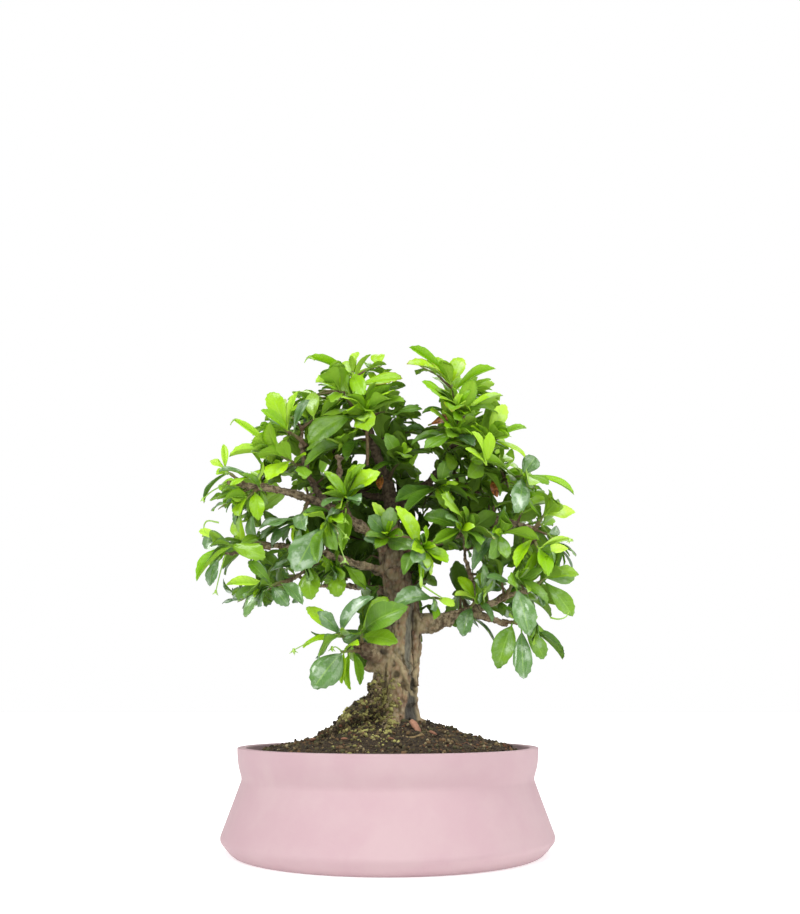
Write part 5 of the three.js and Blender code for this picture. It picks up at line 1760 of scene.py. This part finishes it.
# Side twigs: how many, how many places are tried, how many leaves each has, how long they are, how far the twig
# may reach, how it arches, and what it keeps clear of.
SIDE_TWIGS = 230
SIDE_TWIG_CHANCES = 14000
SIDE_TWIG_LEAVES = 7
SIDE_TWIG_LEAF = 17
LEAF_LENGTHS = (0.8, 0.4)
SIDE_TWIG_REACH = (6, 44)
SIDE_TWIG_ARCH = (1, 2)
SIDE_TWIG_NUMBER = 100
CLEAR_OF_LEAVES = 11
CLEAR_OF_EDGE = 9
CLEAR_OF_GAPS = 3
TWIG_CLEAR_OF_GAPS = 0.8
# Where they may end: the crown's form, no further to the front than this, the shell that they fill, and the
# highest end as seen. They leave the wood only above the foot, or else a shoot at one of these places.
CROWN_FORM = ((-104, 104), (-80, 80), (98, 282))
SIDE_TWIG_FRONT = -8
CROWN_SHELL = 0.35
SIDE_TWIG_TOP = 276
LOWEST_BRANCHING = 96
FORKS = (0.15, 0.5, 0.8)


def near_gap(x, z, clear):
    """Whether a place, seen from the front, is in a gap or nearer to one than asked."""
    return any(math.hypot(x - gap_x, z - gap_z) < radius + clear for gap_x, gap_z, radius in SEE_THROUGH)


def may_end(end):
    """Whether a side twig may end at a place: behind the front, in the crown's shell and clear of the gaps."""
    from_middle = Vector([2 * (value - (low + high) / 2) / (high - low)
                          for value, (low, high) in zip(end, CROWN_FORM)]).length
    if end.y < SIDE_TWIG_FRONT or not CROWN_SHELL < from_middle < 1:
        return False
    x, z = seen_at(end)
    _, left, right = crown_row(z)
    if not left + CLEAR_OF_EDGE < x < right - CLEAR_OF_EDGE or z > SIDE_TWIG_TOP:
        return False
    return not near_gap(x, z, CLEAR_OF_GAPS)


def side_twigs(surface, crowd):
    """Finer twigs for the empty places of the crown, each as long as its way to the nearest wood."""
    draw = draws(SIDE_TWIG_SEED)
    forks = [(twig_point(shoot, place), name) for name, shoot in SHOOTS.items() for place in FORKS]
    found = []
    for _ in range(SIDE_TWIG_CHANCES):
        end = Vector([low + (high - low) * draw() for low, high in CROWN_FORM])
        if not may_end(end) or any(crowd.near(end, CLEAR_OF_LEAVES)):
            continue
        if any((end - other.end).length < CLEAR_OF_LEAVES for other, _ in found):
            continue
        start, name = min(forks, key=lambda known: (known[0] - end).length)
        bark, _, _, away = surface.find_nearest(end)
        if away < (start - end).length and bark.z > LOWEST_BRANCHING:
            start = bark
        shortest, longest = SIDE_TWIG_REACH
        if not shortest < (start - end).length < longest:
            continue
        size = SIDE_TWIG_LEAF * chance(draw, *LEAF_LENGTHS)
        twig = Shoot(start, end, chance(draw, *SIDE_TWIG_ARCH), SIDE_TWIG_LEAVES, size, [])
        if any(near_gap(*seen_at(twig_point(twig, step / 6)), TWIG_CLEAR_OF_GAPS) for step in range(7)):
            continue
        found.append((twig, name))
        if len(found) == SIDE_TWIGS:
            break
    return found


def frame_leaves(crowd):
    """The leaves that the frame has, for each shoot, with their looks and the grid of their blades."""
    leaves = {}
    for shoot_number, (name, shoot) in enumerate(SHOOTS.items()):
        corners = corners_of(f"spray_{name}")
        leaves[name] = []
        for own, look in zip(shoot.own, LEAF_LOOKS.get(name, "")):
            leaf = leaf_on_frame(lambda attempt: named_leaf(shoot, own, attempt), corners)
            if leaf:
                leaves[name].append((leaf, LOOKS[look], FINE_BLADE))
        for number in range(shoot.count):
            draw = draws(FRAME_LEAF_SEED + shoot_number * 100 + number)
            leaf = leaf_on_frame(
                lambda attempt: ruled_leaf(shoot, shoot_number, number, shoot.count, attempt), corners)
            if leaf:
                looks = looks_by_place(leaf, number / shoot.count, draw)
                leaves[name].append((leaf, looks, FINE_BLADE))
        for leaf, _, _ in leaves[name]:
            crowd.take(leaf)
    return leaves


TWIG_THICKNESS = 1.25
SIDE_TWIG_THICKNESS = 0.8
# How young the leaves at a twig's end are: a start, what height adds, and what chance adds.
TIP_YOUTH = 0.4
TIP_YOUTH_OF_HEIGHT = 0.35
TIP_LOW_TO_HIGH = (120, 250)
TIP_YOUTH_CHANCE = 0.25


def first_free(leaf_at, crowd):
    """The first of a leaf's places that is in the crown and free, or None."""
    for attempt in range(MORE_TRIES):
        leaf = leaf_at(attempt)
        if inside_crown(leaf) and crowd.free(leaf):
            crowd.take(leaf)
            return leaf
    return None


def fill_shoots(leaves, crowd):
    """More leaves on each shoot, and small ones at its end."""
    for shoot_number, (name, shoot) in enumerate(SHOOTS.items()):
        draw = draws(MORE_LEAF_SEED + shoot_number)
        for number in range(MORE_LEAVES):
            leaf = first_free(lambda attempt: more_leaf(shoot, shoot_number, number, attempt), crowd)
            if leaf:
                leaves[name].append((leaf, looks_by_place(leaf, 0.5, draw), PLAIN_BLADE))
        for number in range(TIP_LEAVES):
            leaf = tip_leaf(shoot, number, draw)
            if inside_crown(leaf):
                youth = TIP_YOUTH + TIP_YOUTH_OF_HEIGHT * ease(leaf.root.z, *TIP_LOW_TO_HIGH)
                youth = youth + TIP_YOUTH_CHANCE * draw()
                leaves[name].append((leaf, (youth, 0.0, 0.0, 0.0), PLAIN_BLADE))


def add_side_twigs(leaves, surface, crowd):
    """The side twigs by the shoot that they belong to. Their leaves are added to the shoot's."""
    twigs = {name: [] for name in SHOOTS}
    for twig_number, (twig, name) in enumerate(side_twigs(surface, crowd)):
        draw = draws(SIDE_LEAF_SEED + twig_number)
        twigs[name].append(twig)
        for number in range(twig.count):
            leaf = first_free(
                lambda attempt: ruled_leaf(twig, SIDE_TWIG_NUMBER + twig_number, number, twig.count, attempt),
                crowd)
            if leaf:
                looks = looks_by_place(leaf, number / twig.count, draw)
                leaves[name].append((leaf, looks, PLAIN_BLADE))
    return twigs


def make_shoots(leaf_skin, twig_skin, surface):
    """Each leafy shoot of the frame as one piece, with its side twigs."""
    crowd = Crowd(surface)
    leaves = frame_leaves(crowd)
    fill_shoots(leaves, crowd)
    twigs = add_side_twigs(leaves, surface, crowd)
    for shoot_number, (name, shoot) in enumerate(SHOOTS.items()):
        shape = Shape()
        add_twig(shape, shoot, TWIG_THICKNESS)
        for twig in twigs[name]:
            add_twig(shape, twig, SIDE_TWIG_THICKNESS)
        draw = draws(BLADE_SEED + shoot_number)
        for leaf, looks, blade_grid in leaves[name]:
            add_leaf(shape, leaf, looks, blade_grid, draw)
        shape.piece(f"leaves_{name}", [leaf_skin, twig_skin], [f"spray_{name}"], 60)


TWIG_SIDES = 7
TWIG_RINGS = 14
# How a twig starts inside the wood, wanders, thins, swells at its leaves and ends in a bud.
TWIG_INSET = 2
TWIG_FOOT = 1.1
TWIG_WANDER = 0.4
TWIG_WANDER_SIZE = 5
TWIG_TAPER = 0.48
TWIG_SWELL = 0.16
TWIG_SWELL_RATE = 23
BUD_LENGTH = 1.6
BUD_RADIUS = 0.25


def add_twig(shape, shoot, thick):
    """A twig, which swells where leaves stand and ends in a bud."""
    start, end = twig_point(shoot, 0), twig_point(shoot, 1)
    inward = (start - twig_point(shoot, 0.25)).normalized() * TWIG_INSET
    route, radii = [start + inward], [thick * TWIG_FOOT]
    for step in range(TWIG_RINGS):
        t = step / (TWIG_RINGS - 1)
        spot = twig_point(shoot, t * 0.999)
        route.append(spot + noise.noise_vector(spot / TWIG_WANDER_SIZE) * TWIG_WANDER * min(1, step / 3))
        radii.append(thick * (1 - TWIG_TAPER * t) * (1 + TWIG_SWELL * math.sin(t * TWIG_SWELL_RATE)))
    route.append(end + (end - twig_point(shoot, 0.8)).normalized() * BUD_LENGTH)
    radii.append(BUD_RADIUS)
    points, faces = tube(route, radii, TWIG_SIDES)
    places = [clamp((i // TWIG_SIDES - 1) / TWIG_RINGS) for i in range(len(points))]
    shape.add(points, faces, 1, leaf_place=(0.0, 0.0, 1.0), leaf_kind=(0.0, 0.0, 0.0), leaf_tone=0.5,
              leaf_shade=[how_deep(point) for point in points], twig_place=places)


# Spent flowers with their pale sepals: place, size.
CALYCES = (
    ((-101, -25, 189), 1.5), ((-92, -28, 138), 2.0), ((-49, -36, 106.5), 2.4), ((-29, -36, 107.6), 2.2),
    ((-22.6, -40, 174.7), 2.4), ((-22, -40, 166.2), 2.2), ((-22.4, -40, 153.4), 2.6), ((100.1, -16, 168), 2.0),
)
# Green pods: place, length.
PODS = (((17.7, -30, 143), 6.5), ((23, -30, 149.4), 5.5))
# Thin dry ends and pale twigs, each with its route.
CURLS = (
    ((-42, -14, 272), (-45, -13, 274), (-47, -12, 273), (-48, -12, 271)),
    ((-82, -21, 234), (-85, -20, 235.5), (-87, -20, 234), (-88, -20, 232)),
    ((88, -18, 125), (92, -19, 124), (96, -20, 125), (98, -20, 128)),
    ((18.3, -28, 141.6), (24, -26, 138), (30, -22, 135), (36.3, -20, 134.3)),
    ((-92, -25, 176), (-98, -25, 177), (-100, -25, 174), (-99, -25, 170)),
)
# Brown stems in the crown: thickness, route.
STEMS = (
    (1.0, ((-18, -2, 248), (-14, -8, 240), (-12, -10, 226), (-12, -8, 212))),
    (0.6, ((4, -30, 168), (14, -32, 166), (18, -30, 161))),
)
# Dead leaves that hang on: root, tip, width.
DEAD_LEAVES = (
    ((60, 2, 207), (61, -6, 195), 6), ((-4, 2, 208), (-5, -6, 199), 5), ((23, -6, 236), (35, -12, 239), 6),
    ((47, -4, 182), (50, -8, 176), 5), ((-30, -6, 176), (-34, -10, 171), 5),
)
# Leaves that stand alone: root, tip, width, look.
SINGLE_LEAVES = (
    ((34, -8, 243), (19, -14, 242), 5, "d"), ((3, -8, 241), (18, -14, 245), 6, "d"),
    ((5, -8, 231), (20, -12, 233), 4, "e"), ((54, -22, 209), (43, -30, 217), 7, "b"),
    ((54, -22, 210), (46, -30, 226), 7, "y"), ((54, -21, 210), (56, -28, 226), 8, "b"),
    ((54, -14, 227), (46, -22, 231), 6, "b"), ((-75.4, -27, 201), (-86, -30, 195), 6, "b"),
    ((-69, -26, 194), (-79, -30, 204), 7, "d"), ((-77, -26, 203), (-92, -30, 204), 5, "g"),
    ((-90, -30, 156), (-95, -34, 141), 8, "g"),
)


# The thin rods of these parts: sides, rings of a plain one, and thickness at both ends.
ROD_SIDES = 6
ROD_RINGS = 9
STALK_ROD = (0.42, 0.3)
CUP_ROD = (0.5, 0.95)
SEPAL_ROD = (0.5, 0.12)
CURL_ROD = (0.55, 0.25)
STALK_SAG = Vector((0, 0, 1.2))
SEPALS = 5
# A pod: its rings as shares of its length, and their radii.
POD_RINGS = (0.5, 0.2, -0.2, -0.5)
POD_RADII = (0.4, 1.0, 0.95, 0.3)
DEAD_LEAF_FACE = Vector((0, -1, 0.4))


def make_small_parts(leaf_skin, twig_skin, surface):
    """Spent flowers and pods, each on a thin stalk, curled ends, brown stems, dead leaves and leaves that stand
    alone.
    """
    shape = Shape()
    twigs = [twig_point(shoot, place) for shoot in SHOOTS.values() for place in (0.3, 0.6, 0.9, 1)]

    def add(rod, kind, slot=0, tone=0.9, place=0.0):
        shape.add(*rod, slot, leaf_place=(0.5, 0.0, 1.0), leaf_kind=kind, leaf_tone=tone, leaf_shade=0.0,
                  twig_place=place)

    def add_rod(route, ends, youth, count=ROD_RINGS):
        radii = np.linspace(*ends, count).tolist()
        route = [Vector(spot) for spot in spline(route, count)]
        add(tube(route, radii, ROD_SIDES), (youth * 0.8, 0.4, 0.12))

    def stalk(place):
        start = min(twigs, key=lambda spot: (spot - place).length)
        bark, _, _, away = surface.find_nearest(place)
        if away < (start - place).length:
            start = bark
        add_rod([start, start.lerp(place, 0.6) + STALK_SAG, place], STALK_ROD, 0.9)

    for number, (place, size) in enumerate(CALYCES):
        place = Vector(place)
        draw = draws(CALYX_SEED + number)
        stalk(place)
        add_rod([place + Vector((0, 0, 1)), place, place - Vector((0, 0, size * 0.5))], CUP_ROD, 1.0, 5)
        for sepal in range(SEPALS):
            angle = sepal * math.tau / SEPALS + draw()
            way = Vector((math.cos(angle), math.sin(angle) * 0.8, -0.5 - 0.6 * draw())) * size
            add_rod([place, place + way * 0.5, place + way], SEPAL_ROD, 1.0, 5)
    for place, length in PODS:
        place = Vector(place)
        stalk(place + Vector((0, 0, length / 2)))
        rings = [place + Vector((0, 0, length * step)) for step in POD_RINGS]
        add(tube(rings, POD_RADII, 8), (0.9, 0.0, 0.0))
    for route in CURLS:
        add_rod(route, CURL_ROD, 0.85, 12)
    for thick, route in STEMS:
        rod = tube([Vector(spot) for spot in spline(route, 16)], [thick] * 16, 7)
        add(rod, (0.5, 0.0, 0.0), 1, 0.5, 0.05)
    draw = draws(LONE_LEAF_SEED)
    for root, tip, width in DEAD_LEAVES:
        leaf = Leaf(Vector(root), Vector(tip), DEAD_LEAF_FACE, 0.3, width)
        add_leaf(shape, leaf, (0.5, 0.0, 1.0, 0.0), PLAIN_BLADE, draw)
    for root, tip, width, look in SINGLE_LEAVES:
        leaf = Leaf(Vector(root), Vector(tip), Vector(FRONT_FACE), 0.2, width)
        add_leaf(shape, leaf, LOOKS[look], FINE_BLADE, draw)
    shape.piece("buds_and_pods", [leaf_skin, twig_skin], (), 60)


# Stage

# The camera stands before the pot and looks up a little. Its picture is as high as the photo, in pixels.
CAMERA_HEIGHT = 80.2
CAMERA_DISTANCE = 560
CAMERA_ASIDE = 6.5
CAMERA_TILT = 8.7
FOCAL_PIXELS = 1000
PHOTO_HEIGHT = 914
SHIFT_PIXELS = 91
SENSOR = 36


def make_camera():
    """The camera, where the photo was taken from."""
    lens = bpy.data.cameras.new("camera")
    lens.sensor_width = SENSOR
    lens.lens = FOCAL_PIXELS / PHOTO_HEIGHT * SENSOR
    lens.shift_y = SHIFT_PIXELS / PHOTO_HEIGHT
    camera = bpy.data.objects.new("camera", lens)
    camera.location = Vector((CAMERA_ASIDE, -CAMERA_DISTANCE, CAMERA_HEIGHT)) * MM
    camera.rotation_euler = (math.radians(90 + CAMERA_TILT), 0, 0)
    bpy.context.scene.collection.objects.link(camera)
    bpy.context.scene.camera = camera


# Large soft lights round the tree: turn from the front towards the right, height, strength, apparent size,
# all angles in degrees.
LIGHTS = {
    "left_key": (-54, 36, 1.9, 24),
    "right_fill": (56, 32, 1.6, 50),
    "overhead": (-10, 70, 1.36, 40),
    "front": (5, 14, 0.58, 36),
    "left_side": (-115, 24, 0.35, 60),
    "right_side": (112, 26, 0.6, 60),
    "behind": (170, 40, 0.7, 40),
}


LAMP_HEIGHT = 0.6
FLOOR_REACH = 6
FLOOR_GLOW = 0.34


def add_light(name, turn, height, strength, size):
    """One large soft light."""
    data = bpy.data.lights.new(name, "SUN")
    data.energy = strength
    data.angle = math.radians(size)
    lamp = bpy.data.objects.new(name, data)
    lamp.rotation_euler = (math.radians(90 - height), 0, math.radians(turn))
    lamp.location = (0, 0, LAMP_HEIGHT)
    bpy.context.scene.collection.objects.link(lamp)


def make_stage():
    """White surroundings, the lights and the pale floor."""
    world = bpy.data.worlds.new("studio")
    world.use_nodes = True
    sky = world.node_tree.nodes["Background"]
    sky.inputs["Color"].default_value = (1, 1, 1, 1)
    sky.inputs["Strength"].default_value = 1.0
    world.cycles_visibility.diffuse = False
    world.cycles_visibility.glossy = False
    bpy.context.scene.world = world
    for name, light in LIGHTS.items():
        add_light(name, *light)
    mesh = bpy.data.meshes.new("floor")
    sides = ((-1, -1), (1, -1), (1, 1), (-1, 1))
    mesh.from_pydata([(FLOOR_REACH * x, FLOOR_REACH * y, 0) for x, y in sides], [], [(0, 1, 2, 3)])
    floor = bpy.data.objects.new("floor", mesh)
    f = Finish("pale_floor")
    glow = {"Emission Color": (1, 1, 1, 1), "Emission Strength": FLOOR_GLOW}
    mesh.materials.append(f.cover(shade(245, 245, 245), 0.9, None, glow))
    bpy.context.scene.collection.objects.link(floor)
    floor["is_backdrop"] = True
    view = bpy.context.scene.view_settings
    view.view_transform = "Standard"
    view.look = "None"


make_camera()
make_stage()
for node, skin in (("drainage_mesh", screen_finish()), ("drainage_gravel", grit_finish())):
    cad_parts[node].data.materials.clear()
    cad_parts[node].data.materials.append(skin)
make_pot(glaze_finish())
WOOD = make_wood(wood_finish())
SURFACE = wood_surface(WOOD)
make_soil(soil_finish())
make_crumbs(crumb_finish(), SURFACE)
make_moss(moss_finish(), SURFACE)
make_litter(litter_finish())
LEAF_SKIN = leaf_finish()
TWIG_SKIN = twig_finish()
make_shoots(LEAF_SKIN, TWIG_SKIN, SURFACE)
make_small_parts(LEAF_SKIN, TWIG_SKIN, SURFACE)

boxes = {"cad": CAD_BOX, "visual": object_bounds()}
{name: [list(corner) for corner in box] for name, box in boxes.items()}
